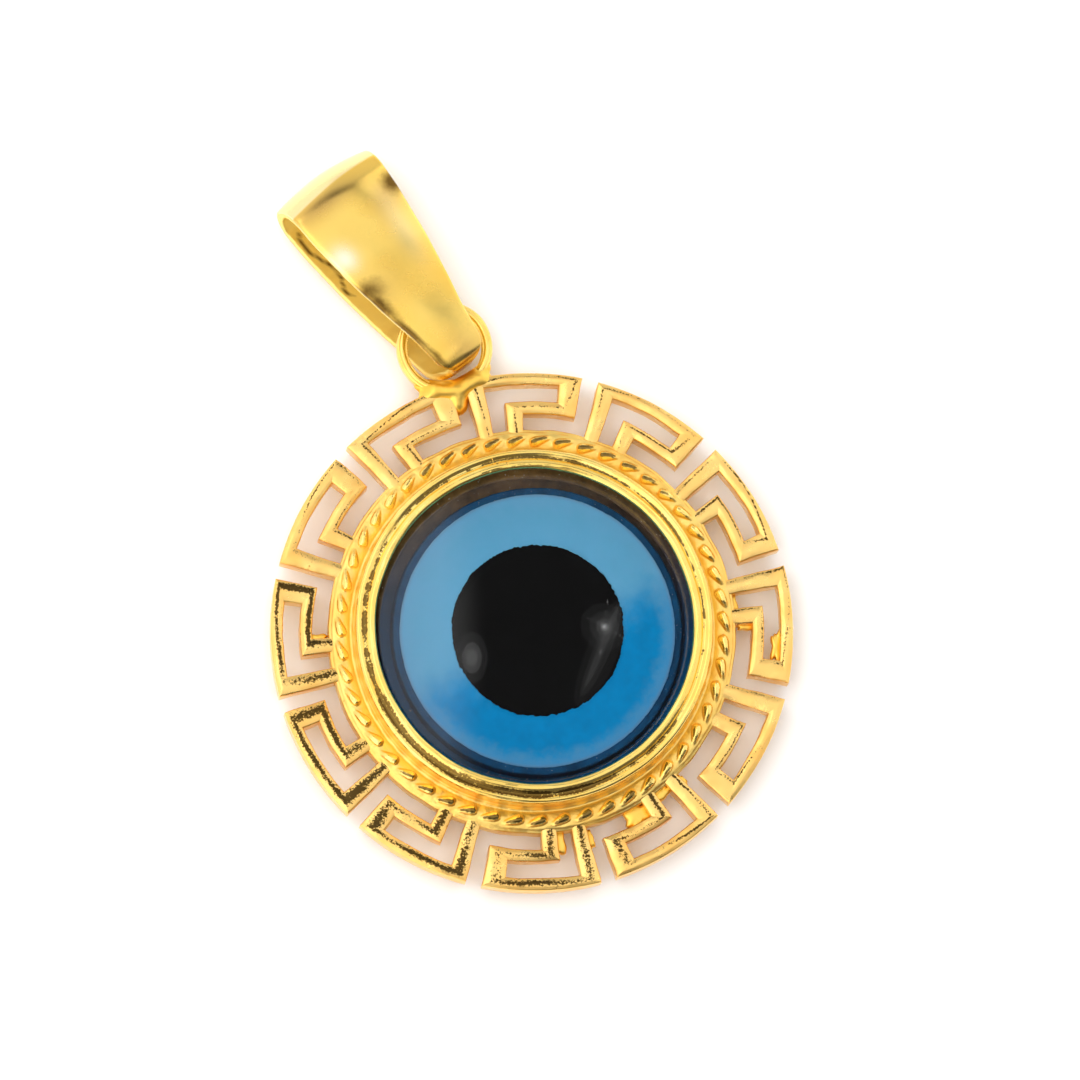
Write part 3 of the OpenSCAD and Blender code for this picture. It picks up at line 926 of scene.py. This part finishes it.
# Flat drops of solder: a squared-off disc in angle and radius, thinner to its edge, with a ragged outline
def makeWebs(w, b):
    place = np.array(w["places"], dtype=float)
    span = 360 / b["keys"] - arcDegrees(b["gap"])
    start = b["firstGap"] + arcDegrees(b["gap"]) / 2 + place[:, 0] * 360 / b["keys"]
    depth = b["radius"] - b["baseRing"]
    angleMid = start + (place[:, 1] + place[:, 2]) / 2 * span
    angleHalf = (place[:, 2] - place[:, 1]) / 2 * span * w["spread"]
    radiusMid = b["baseRing"] + (place[:, 3] + place[:, 4]) / 2 * depth
    radiusHalf = (place[:, 4] - place[:, 3]) / 2 * depth * w["spread"]
    turn, tilt = turns(w["sides"]), tilts(w["rings"])
    flat = squared(np.sin(tilt), w["square"])
    reach = (np.cos(tilt) ** w["thick"])[None, :, None]
    squareX = squared(np.cos(turn), w["square"])
    squareY = squared(np.sin(turn), w["square"])
    number = np.arange(len(place))[:, None]
    around, apart = w["apart"]
    seedPoint = np.stack([squareX[None] * around + number * apart, squareY[None] * around + 0 * number,
                          0 * squareX[None] + 0 * number], axis=-1)
    uneven = 1 + unevenness(seedPoint, w["ragged"])
    angle = angleMid[:, None, None] + angleHalf[:, None, None] * (squareX * uneven)[:, None, :] * reach
    radius = radiusMid[:, None, None] + radiusHalf[:, None, None] * (squareY * uneven)[:, None, :] * reach
    height = np.broadcast_to(w["bottom"] + w["height"] * (flat[None, :, None] + 1) / 2, radius.shape)
    grid = roundPoints(np.radians(angle), radius, height)
    poles = np.stack([roundPoints(np.radians(angleMid), radiusMid, np.full(len(place), z))
                      for z in (w["bottom"], w["bottom"] + w["height"])], axis=1)
    points = np.concatenate([grid.reshape(len(place), -1, 3), poles], axis=1).reshape(-1, 3)
    return makePiece("solderWebs", points, dropFaces(len(place), w["rings"], w["sides"]), [goldSolder],
                     "setting", ["setting"])


makeWebs(webs, border)


# The loop and the solder that holds it

loop = {
    "middle": 11.46,            # distance of its centre from the eye's centre
    "height": 1.299,            # of its wire's middle
    "radius": 1.85,             # outside
    "width": 0.44,
    "depth": 0.70,
    "groove": 0.035,
    "grooveAt": 62.0,           # turn from the outside to the groove, and its width in radians
    "grooveWidth": 0.13,
    "waver": [(1.4, 61, 0.010)],
    "waverShares": (1, 1, 0.6),  # in x, y and z
    "steps": 220,
    "sides": 48,
}

neck = {
    # tubes of solder: start, end, and the radius at each
    "tubes": [
        ((-1.30, 10.36, 1.30), (-0.84, 9.97, 1.34), 0.27, 0.42),
        ((-0.84, 9.97, 1.34), (0.00, 9.74, 1.36), 0.42, 0.44),
        ((0.00, 9.74, 1.36), (0.84, 9.97, 1.34), 0.44, 0.42),
        ((0.84, 9.97, 1.34), (1.26, 10.32, 1.31), 0.42, 0.27),
        ((0.00, 9.74, 1.34), (-0.16, 9.22, 1.20), 0.46, 0.42),
        ((-0.80, 9.92, 1.34), (-1.24, 9.80, 1.30), 0.42, 0.32),
        ((0.80, 9.92, 1.34), (1.14, 9.80, 1.34), 0.42, 0.34),
    ],
    "across": (0.3, 0.2, 1.0),  # a direction in which no tube runs
    "sides": 24,
    "rings": 24,
    "melt": 0.05,               # cell in which the tubes are melted together
    "smoothing": 16,
    "softness": 0.6,
    "waver": [(0.6, 72, 0.012)],
}


# Ring whose section is a stadium with a fine groove inside its upper outer edge
def makeLoop(p):
    turn = turns(p["sides"])
    half = p["width"] / 2
    straight = p["depth"] / 2 - half
    out = half * np.cos(turn)
    up = half * np.sin(turn) + straight * np.sign(np.sin(turn)) * np.clip(np.abs(np.sin(turn)) * 3, 0, 1)
    dip = p["groove"] * np.exp(-((turn - math.radians(p["grooveAt"])) / p["grooveWidth"]) ** 2)
    out = out - dip * np.cos(turn)
    up = up - dip * np.sin(turn)
    outline = np.stack([p["radius"] - half + out, up], axis=-1)
    points, faces = revolved(outline, p["steps"])
    points = points + np.array([0, p["middle"], p["height"]])
    points += unevenness(points, p["waver"])[:, None] * np.array(p["waverShares"])
    return makePiece("loop", points, faces, [goldLoop], "setting", ["setting"])


# Points of the tubes. Each is a capsule: circles about the line between its ends, shrinking to its poles.
def tubePoints(n):
    start, end = (np.array([tube[k] for tube in n["tubes"]]) for k in (0, 1))
    radii = np.array([(tube[2], tube[3]) for tube in n["tubes"]])
    axis = end - start
    axis /= np.linalg.norm(axis, axis=1, keepdims=True)
    first = np.cross(axis, n["across"])
    first /= np.linalg.norm(first, axis=1, keepdims=True)
    second = np.cross(axis, first)
    turn, tilt = turns(n["sides"]), tilts(n["rings"])
    atEnd = (tilt > 0).astype(float)[None, :]
    radius = radii[:, :1] * (1 - atEnd) + radii[:, 1:] * atEnd
    middle = start[:, None] + (end - start)[:, None] * atEnd[..., None]
    middle = middle + axis[:, None] * (radius * np.sin(tilt)[None, :])[..., None]
    ring = first[:, None] * np.cos(turn)[None, :, None] + second[:, None] * np.sin(turn)[None, :, None]
    grid = middle[:, :, None] + ring[:, None] * (radius * np.cos(tilt)[None, :])[..., None, None]
    poles = np.stack([start - axis * radii[:, :1], end + axis * radii[:, 1:]], axis=1)
    return np.concatenate([grid.reshape(len(start), -1, 3), poles], axis=1).reshape(-1, 3)


# The tubes are melted into one surface by a remesh in millimetres, and smoothed
def makeNeck(n):
    sides, low, high = dropFaces(len(n["tubes"]), n["rings"], n["sides"], flip=True)
    data = bpy.data.meshes.new("neckTubes")
    data.from_pydata(tubePoints(n).tolist(), [], low.tolist() + high.tolist() + sides.tolist())
    tubes = bpy.data.objects.new("neckTubes", data)
    bpy.context.scene.collection.objects.link(tubes)
    melt = tubes.modifiers.new("melt", "REMESH")
    melt.mode = "VOXEL"
    melt.voxel_size = n["melt"]
    soften = tubes.modifiers.new("soften", "SMOOTH")
    soften.iterations = n["smoothing"]
    soften.factor = n["softness"]
    melted = bpy.data.meshes.new_from_object(tubes.evaluated_get(bpy.context.evaluated_depsgraph_get()))
    points = np.empty(len(melted.vertices) * 3)
    melted.vertices.foreach_get("co", points)
    points = points.reshape(-1, 3)
    points = points + unevenness(points, n["waver"])[:, None]
    quads = np.array([polygon.vertices[:] for polygon in melted.polygons])
    bpy.data.objects.remove(tubes)
    bpy.data.meshes.remove(data)
    bpy.data.meshes.remove(melted)
    return makePiece("neck", points, [quads], [goldSolder], "setting", ["setting"], sharp=180)


makeLoop(loop)
makeNeck(neck)


# The bail

bail = {
    "length": 9.35,
    "width": 4.32,
    "thickness": 2.7,
    "strap": 0.36,
    "crown": 0.25,
    "tip": -1.11,               # where its tip lies along it, from the loop's centre
    "ride": 1.449,              # height of its middle
    "side": 0.06,
    "turn": 20.0,
    "roll": 9.0,
    "edge": 0.09,               # radius of the strap's long edges
    # share of the length from the tip, share of half the width
    "outline": [(0, 0.20), (0.004, 0.28), (0.013, 0.36), (0.032, 0.43), (0.064, 0.475), (0.118, 0.497),
                (0.22, 0.56), (0.33, 0.665), (0.54, 0.83), (0.76, 0.945), (1, 1)],
    "outlineSteps": 400,        # in which it is smoothed, and the number of them that are averaged
    "outlineSpread": 25,
    "outlineBlend": 0.08,       # share of the length over which the smoothing sets in
    "tipSquare": 4.2,           # exponent of the front of the tip's bend; 2 is round
    "bendSteps": 40,
    "sideSteps": 70,
    "edgeSteps": 6,
    "faceSteps": 29,
    "insideEnds": (0.4, 0.7),   # shares of the strap's depth where its inside starts, and does fully
    "insideRough": [(0.55, 81, 0.018), (0.2, 82, 0.008)],
    "outsideRough": [(2.2, 83, 0.010)],
    "outsideSunk": 0.010,       # so that the roughness stays within the solid
    # soft painted marks on the front, dark reflections, tan shade and highlights: share of the length from
    # the tip, share of the half width, their spreads, strength
    "marks": {
        "paintedDark": [(0.79, 1.0, 0.050, 0.24, 1.15), (0.47, -1.0, 0.055, 0.42, 0.95),
                 (0.40, -1.0, 0.10, 0.22, 1.0), (0.24, -1.02, 0.16, 0.12, 1.0),
                 (0.08, -0.95, 0.07, 0.16, 0.9)],
        "tan": [(0.88, -0.45, 0.055, 0.85, 0.85), (0.02, 0.2, 0.12, 0.9, 0.75),
                (0.45, -0.7, 0.09, 0.5, 0.4), (0.76, 0.75, 0.07, 0.35, 0.6)],
        "highlight": [(0.64, -0.82, 0.055, 0.24, 1.0), (0.62, 0.62, 0.16, 0.25, 0.22)],
    },
    # jagged dark line inside the back: share of the half width, and shares of the length over which it
    # sets in and fades
    "darkLine": {"aside": -0.80, "width": 0.045, "starts": (0.49, 0.55), "ends": (0.90, 0.85),
              "waver": [(1.1, 84, 0.10)]},
    "foldHighlight": (0.927, 0.018),     # share of the length where the fold's pale painted highlight starts, and its slant
}


# Places and outward normals of the strap's outer face: round the tip, up the back, over the top, down
# the front
def bailStations(b):
    r = b["thickness"] / 2
    low = b["tip"] + r
    high = b["tip"] + b["length"] - r
    tip = np.radians(np.linspace(90, 270, b["bendSteps"] + 1))
    top = np.radians(np.linspace(-90, 90, b["bendSteps"] + 1))
    share = np.arange(1, b["sideSteps"]) / b["sideSteps"]
    flat = np.zeros(len(share))
    power = np.where(tip <= math.pi, 2 / b["tipSquare"], 1.0)
    bend = np.stack([low - r * np.abs(np.cos(tip)) ** power, r * squared(np.sin(tip), power)], axis=-1)
    slope = np.gradient(bend, axis=0)
    slope = slope / np.linalg.norm(slope, axis=1, keepdims=True)
    bendNormal = np.stack([slope[:, 1], -slope[:, 0]], axis=-1)
    bendNormal[0], bendNormal[-1] = (0, 1), (0, -1)
    place = np.vstack([
        bend,
        np.stack([low + share * (high - low), flat - r], axis=-1),
        np.stack([high + r * np.cos(top), r * np.sin(top)], axis=-1),
        np.stack([high - share * (high - low), flat + r], axis=-1),
    ])
    normal = np.vstack([
        bendNormal,
        np.stack([flat, flat - 1], axis=-1),
        np.stack([np.cos(top), np.sin(top)], axis=-1),
        np.stack([flat, flat + 1], axis=-1),
    ])
    return place, normal


# Half the strap's width at shares of its length
def bailHalfWidth(b, shareAlong):
    table = np.array(b["outline"])
    smooth = np.linspace(0, 1, b["outlineSteps"])
    half = np.interp(smooth, table[:, 0], table[:, 1])
    kernel = np.hanning(b["outlineSpread"]) / np.hanning(b["outlineSpread"]).sum()
    padded = np.pad(half, b["outlineSpread"] // 2, mode="edge")
    blend = np.clip(smooth / b["outlineBlend"], 0, 1)
    half = half * (1 - blend) + np.convolve(padded, kernel, mode="valid") * blend
    return np.interp(shareAlong, smooth, half) * b["width"] / 2


# Section of the strap as arrays: side, inset from the edge, share of the half width, depth in the strap
def bailSection(b):
    e = b["edge"]
    turn = np.radians(np.linspace(0, 90, b["edgeSteps"]))
    rising = [(-1, e * (1 - math.cos(t)), 1.0, e * (1 - math.sin(t))) for t in turn]
    across = [(1, e, f, 0.0) for f in np.linspace(-1, 1, b["faceSteps"])[1:-1]]
    falling = [(1, i, f, d) for _, i, f, d in reversed(rising)]
    outer = rising + across + falling
    inner = [(s, i, f, b["strap"] - d) for s, i, f, d in reversed(outer)]
    return np.array(outer + inner, dtype=float).T


# Painted marks, dark line and the fold's pale painted highlight, as values for each point of the strap
def bailValues(b, grid, isInside, height, shareAlong, shareAcross):
    isFront = (height > 0) * (1 - isInside)
    isBack = (height < 0) * isInside
    values = {"inside": isInside}
    for label, marks in b["marks"].items():
        amount = np.zeros(isInside.shape)
        for along, aside, spreadAlong, spreadAside, strength in marks:
            amount = np.maximum(amount, strength * np.exp(-((shareAlong - along) / spreadAlong) ** 2
                                                          - ((shareAcross - aside) / spreadAside) ** 2))
        values[label] = amount * isFront
    darkLine = b["darkLine"]
    offset = shareAcross - darkLine["aside"] - unevenness(grid * np.array([0, 1, 0]), darkLine["waver"])
    runs = softStep(shareAlong, *darkLine["starts"]) * softStep(shareAlong, *darkLine["ends"])
    line = np.exp(-(offset / darkLine["width"]) ** 2) * runs * isBack
    values["paintedDark"] = np.maximum(values["paintedDark"], line)
    start, slant = b["foldHighlight"]
    values["foldHighlight"] = np.where(isFront > 0, shareAlong - start - slant * shareAcross, -1.0)
    return values


# The strap's section, round-edged and crowned, carried round the bail and narrowed towards its tip
def makeBail(b):
    place, normal = bailStations(b)
    side, inset, share, depth = bailSection(b)
    shareAlong = (place[:, 0] - b["tip"]) / b["length"]
    lateral = side * (bailHalfWidth(b, shareAlong)[:, None] - inset) * share
    drop = b["crown"] / (b["width"] / 2) ** 2 * lateral ** 2 + depth
    start, full = b["insideEnds"]
    isInside = np.clip((depth / b["strap"] - start) / (full - start), 0, 1)
    isInside = np.broadcast_to(isInside, lateral.shape)
    sunk = place[:, None] - normal[:, None] * drop[..., None]
    grid = np.concatenate([lateral[..., None], sunk], axis=-1)
    rough = (isInside * unevenness(grid, b["insideRough"])
             + (1 - isInside) * (unevenness(grid, b["outsideRough"]) - b["outsideSunk"]))
    outward = np.stack([np.zeros(len(place)), normal[:, 0], normal[:, 1]], axis=-1)[:, None]
    grid = grid + outward * rough[..., None]
    values = bailValues(b, grid, isInside, place[:, 1:], shareAlong[:, None], (side * share)[None])
    roll = Matrix.Rotation(math.radians(b["roll"]), 3, "Y")
    turned = Matrix.Rotation(math.radians(b["turn"]), 3, "Z")
    points = grid.reshape(-1, 3) @ np.array(roll).T + np.array([b["side"], 0, 0])
    points = points @ np.array(turned).T + np.array([0, loop["middle"], b["ride"]])
    points[:, 2] = np.maximum(points[:, 2], 0.0)
    faces = [gridFaces(*lateral.shape, wrapRows=True)]
    return makePiece("bailStrap", points, faces, [goldBail], "bail", ["bail"], values=values)


makeBail(bail)


# The glass eye

irisPaint = {
    "deep": (0.000, 0.345, 0.790),
    "deepEdge": (0.000, 0.300, 0.700),
    "deepEdges": (0.35, 0.65),  # noise levels between which the deep blue changes
    # paler blue painted over the half the light falls on
    "paleLit": (0.155, 0.540, 0.850),
    "paleLitLine": 98.0,          # direction towards which the half painted paler by the light lies, from the right of the pendant
    "paleLitEnds": (-1.6, 0.9),   # mm from the middle along that direction where it starts and is full
    "paleLitRimLight": 0.35,          # most of the rim's painted light colour in it
    "cloud": 1.6,               # mm across the clouds that move its edge, and how far they do
    "cloudDrift": (-0.6, 0.6),
    "streak": 0.5,
    "noiseEdges": (0.3, 0.7),
    "rimLight": (0.200, 0.560, 0.900),  # paler band of painted light that hugs the rim
    "rimLightEnds": (4.35, 5.00),
    "rimLightDrift": (-0.2, 0.2),
    "rimLightMost": 0.45,
    # thin pale purple line at the edge: a painted reflection
    "rim": (0.22, 0.30, 0.52),
    "rimEnds": (5.00, 5.12),
    "rimMost": 0.40,
}

glassFinish = {
    "matt": {"Roughness": 0.5, "Specular IOR Level": 0.0},  # the clear glass in front has the gloss
    "toneEdges": (0.35, 0.65),
    "dustSize": 0.06,
    "dustFade": 0.04,
    "dustColour": (0.6, 0.62, 0.64),
    "markSize": 0.4,            # mm across the dull marks on the clear glass
    "markEdges": (0.55, 0.8),
    "markMost": 0.015,          # their roughness
}


# Blue glass painted paler over the half the light falls on, and in a paler band round the rim (painted
# light), with a thin pale purple line of painted reflection at its edge, and fine cloudy marks
def irisMaterial(paint):
    tree = newMaterial("blueGlass")
    place = tree.objectPlace()
    flat, radius = eyePlace(tree, place)
    # painted light: paler over the half towards one direction
    direction = math.radians(paint["paleLitLine"])
    along = tree.dot(flat, (math.cos(direction), math.sin(direction), 0))
    cloud = tree.ramp(tree.noise(place, paint["cloud"], 4.0, 0.6), paint["noiseEdges"], paint["cloudDrift"])
    paleLit = tree.ramp(tree.math("ADD", along, cloud), paint["paleLitEnds"], soft=True)
    streak = tree.noise(place, paint["streak"], 5.0, 0.65)
    deep = tree.mix(tree.ramp(streak, paint["deepEdges"]), paint["deep"], paint["deepEdge"])
    rimLightShare = tree.ramp(streak, paint["noiseEdges"], (0.0, paint["paleLitRimLight"]))
    colour = tree.mix(paleLit, deep, tree.mix(rimLightShare, paint["paleLit"], paint["rimLight"]))
    drifting = tree.math("ADD", radius, tree.ramp(streak, paint["noiseEdges"], paint["rimLightDrift"]))
    rimLight = tree.ramp(drifting, paint["rimLightEnds"], (0.0, paint["rimLightMost"]), soft=True)
    colour = tree.mix(rimLight, colour, paint["rimLight"])
    rim = tree.ramp(radius, paint["rimEnds"], (0.0, paint["rimMost"]))
    return tree.finish({"Base Color": tree.mix(rim, colour, paint["rim"]), **glassFinish["matt"]})


# Opaque dark glass with slow changes of colour and a little dust
def darkGlass(name, colour, second, toneSize, dust):
    g = glassFinish
    tree = newMaterial(name)
    place = tree.objectPlace()
    tone = tree.ramp(tree.noise(place, toneSize, 3.0), g["toneEdges"])
    speck = tree.ramp(tree.noise(place, g["dustSize"], 2.0, 0.6), (1 - dust, 1 - dust + g["dustFade"]))
    result = tree.mix(speck, tree.mix(tone, colour, second), g["dustColour"])
    return tree.finish({"Base Color": result, **g["matt"]})


navyGlass = darkGlass("navyGlass", (0.010, 0.105, 0.250), (0.007, 0.068, 0.165), 0.8, 0.29)
blueGlass = irisMaterial(irisPaint)
blackGlass = darkGlass("blackGlass", (0.0012, 0.0012, 0.0016), (0.002, 0.002, 0.0024), 1.2, 0.22)


# Clear glass; where it is fused to the layers behind it light passes without bending
def clearGlassMaterial(name, bend):
    g = glassFinish
    tree = newMaterial(name)
    marks = tree.noise(tree.objectPlace(), g["markSize"], 3.0)
    return tree.finish({"Roughness": tree.ramp(marks, g["markEdges"], (0.0, g["markMost"])),
                        "Base Color": (1.0, 1.0, 1.0), "Transmission Weight": 1.0, "IOR": bend})


clearGlass = clearGlassMaterial("clearGlass", 1.5)
fusedGlass = clearGlassMaterial("fusedGlass", 1.001)


# Half section of a disc with bevelled edges and points spread over its faces
def discOutline(radius, bottom, top, bevel, count=12):
    spread = np.linspace(0, radius - bevel - 0.02, count)
    low = np.stack([spread, np.full(count, bottom)], axis=-1)
    high = np.stack([spread[::-1], np.full(count, top)], axis=-1)
    return np.vstack([low, [(radius - bevel, bottom), (radius, bottom + bevel), (radius, top - bevel),
                            (radius - bevel, top)], high])


# Makes the outer tenth of a disc wander by up to that many mm, slowly and in fine teeth
def ragged(amount, size, seed):
    def shape(angle, radius, height):
        ring = ringPoints(angle, radius.max())
        near = np.clip((radius - 0.9 * radius.max()) / (0.1 * radius.max()), 0, 1)
        drift = unevenness(ring, [(size, seed, 0.35), (size * 0.25, seed + 1, 0.3),
                                  (size * 0.08, seed + 2, 0.4)])
        return radius + near * amount * drift, height
    return shape


def makeEye(e):
    # layer, bevel, material, CAD node, slot, how far its rim wanders, over what length, seed
    layers = [
        ("navy", 0.04, navyGlass, "navy_glass", "navy_glass", 0.012, 2.0, 90),
        ("iris", 0.015, blueGlass, "iris", "blue_glass", 0.014, 2.2, 93),
        ("pupil", 0.015, blackGlass, "pupil", "black_glass", 0.045, 1.6, 96),
    ]
    for layer, bevel, material, node, slot, wander, size, seed in layers:
        outline = discOutline(e[layer + "Radius"], e[layer + "Bottom"], e[layer + "Top"], bevel)
        points, faces = revolved(outline, e["discSteps"], e["shift"], ragged(wander, size, seed))
        makePiece(layer + "Disc", points, faces, [material], "setting", [node])


# Flat-backed clear dome: a bevelled edge and a cap of one sphere
def makeClearGlass(e):
    radius, bottom, edge, top = e["clearRadius"], e["clearBottom"], e["clearEdge"], e["clearTop"]
    sphere = (radius ** 2 + (top - edge) ** 2) / (2 * (top - edge))
    widest = math.degrees(math.asin(radius / sphere)) * e["clearCap"]
    cap = arc((0, top - sphere), sphere, 90 - widest, 90, e["clearCapSteps"])
    cap[-1, 0] = 0
    bevel, count, steps = e["clearBevel"], e["clearFlatSteps"], e["clearSteps"]
    low = np.stack([np.linspace(0, radius - bevel, count), np.full(count, bottom)], axis=-1)
    wall = [(radius, bottom + bevel), (radius, e["clearSide"]), (radius, edge - e["clearRound"])]
    outline = np.vstack([low, wall, cap])
    points, faces = revolved(outline, steps)
    sections = len(outline) - 2
    column = np.tile(np.arange(sections - 1), steps)
    slots = np.concatenate([(column < count + 1).astype(int), np.ones(steps), np.zeros(steps)])
    makePiece("clearDome", points, faces, [clearGlass, fusedGlass], "setting",
              ["clear_glass"], sharp=30, slots=slots)


makeEye(eye)
makeClearGlass(eye)


# Floor, sky and lamps

studio = {
    "floorSide": 900.0,
    "floorFinish": {"Base Color": (0.95, 0.945, 0.94), "Roughness": 0.9, "Specular IOR Level": 0.1},
    # soft walls of light: image direction they lie in, start and end of the slope as sines, brightness
    "walls": [(180.0, 0.11, 0.30, 1.18), (90.0, 0.50, 0.80, 0.85)],
    "dark": 0.14,               # brightness between them
    "skyColour": (1.0, 0.99, 0.975),
    # lamps that light the gold alone: tilt from +Z, image direction, distance, width, brightness
    "goldLamps": [(0.0, 0.0, 300.0, 330.0, 0.90), (65.0, 18.0, 300.0, 400.0, 0.98),
                  (68.0, 232.0, 300.0, 300.0, 0.60)],
    "fill": {"width": 700.0, "height": 480.0, "brightness": 2.05},  # overhead, not seen in polished metal
    "sparkDistance": 520.0,
    # lights reflected in the eye: tilt from +Z, image direction, width, length, image direction of it,
    # brightness
    "sparks": [(20.1, 23.8, 9.0, 9.0, 0.0, 6.0), (20.1, 23.8, 18.0, 18.0, 0.0, 2.2),
               (20.1, 23.8, 32.0, 32.0, 0.0, 0.80), (20.1, 23.8, 58.0, 58.0, 0.0, 0.32),
               (20.1, 23.8, 92.0, 92.0, 0.0, 0.12),
               (20.1, 23.8, 7.0, 110.0, 80.0, 1.4), (20.1, 23.8, 7.0, 96.0, 155.0, 1.4),
               (18.4, 12.0, 14.0, 170.0, 66.0, 0.32), (18.2, 10.0, 32.0, 200.0, 66.0, 0.20),
               (18.0, 8.0, 60.0, 230.0, 66.0, 0.10),
               (9.9, 173.0, 22.0, 32.0, 90.0, 1.5), (9.9, 173.0, 38.0, 60.0, 90.0, 0.9),
               (9.9, 173.0, 62.0, 100.0, 90.0, 0.22)],
}


def makeFloor(s):
    half = s["floorSide"] / 2
    points = np.array([(-half, -half, 0), (half, -half, 0), (half, half, 0), (-half, half, 0)], dtype=float)
    data = bpy.data.meshes.new("floor")
    data.from_pydata((points * mm).tolist(), [], [(0, 1, 2, 3)])
    data.materials.append(newMaterial("paleFloor").finish(s["floorFinish"]))
    floor = bpy.data.objects.new("floor", data)
    bpy.context.scene.collection.objects.link(floor)


# Sky whose brightness rises softly towards each wall of light and stays low between them
def makeSky(s):
    tree = NodeTree(bpy.data.worlds.new("studioSky"))
    direction = tree.add("TexCoord", "Generated", {})
    light = None
    for angle, start, full, brightness in s["walls"]:
        facing = tree.dot(direction, inPlane(angle))
        wall = tree.ramp(facing, (start, full), (s["dark"], brightness), soft=True)
        light = wall if light is None else tree.math("MAXIMUM", light, wall)
    background = tree.nodes["Background"]
    tree.feed(background.inputs["Strength"], light)
    tree.feed(background.inputs["Color"], s["skyColour"])
    bpy.context.scene.world = tree.owner


# Direction that leans from +Z towards an image direction
def aloft(tilt, angle):
    lean = math.radians(tilt)
    return inPlane(angle) * math.sin(lean) + Vector((0, 0, math.cos(lean)))


# Lamp in that direction that faces the pendant. Its surface has the brightness: its power is that times pi
# times its area.
def areaLamp(name, direction, distance, width, length, brightness, upwards, shape="RECTANGLE"):
    data = bpy.data.lights.new(name, "AREA")
    data.shape = shape
    data.size = width * mm
    data.size_y = length * mm
    area = width * length * mm * mm * (1.0 if shape == "RECTANGLE" else math.pi / 4)
    data.energy = brightness * math.pi * area
    lamp = bpy.data.objects.new(name, data)
    backwards = direction.normalized()
    across = upwards.cross(backwards).normalized()
    turned = Matrix((across, backwards.cross(across), backwards)).transposed().to_4x4()
    lamp.matrix_world = Matrix.Translation(direction * distance * mm) @ turned
    bpy.context.scene.collection.objects.link(lamp)
    return lamp


def makeLamps(s):
    fill = s["fill"]
    overhead = areaLamp("fill", Vector((0, 0, 1)), fill["height"], fill["width"], fill["width"],
                        fill["brightness"], Vector((0, 1, 0)))
    overhead.visible_glossy = False
    golden = bpy.data.collections.new("goldPieces")
    for piece in bpy.context.scene.objects:
        if piece.type == "MESH" and any(m and m.name.endswith("Gold") for m in piece.data.materials):
            golden.objects.link(piece)
    for number, (tilt, angle, distance, width, brightness) in enumerate(s["goldLamps"]):
        lamp = areaLamp(f"goldLight{number + 1}", aloft(tilt, angle), distance, width, width, brightness,
                        inPlane(90.0))
        lamp.light_linking.receiver_collection = golden
    for number, (tilt, angle, width, length, along, brightness) in enumerate(s["sparks"]):
        areaLamp(f"spark{number + 1}", aloft(tilt, angle), s["sparkDistance"], width, length, brightness,
                 inPlane(along), "ELLIPSE")


makeFloor(studio)
makeSky(studio)
makeLamps(studio)
bpy.context.scene.view_settings.view_transform = "Standard"
print("studio ready")
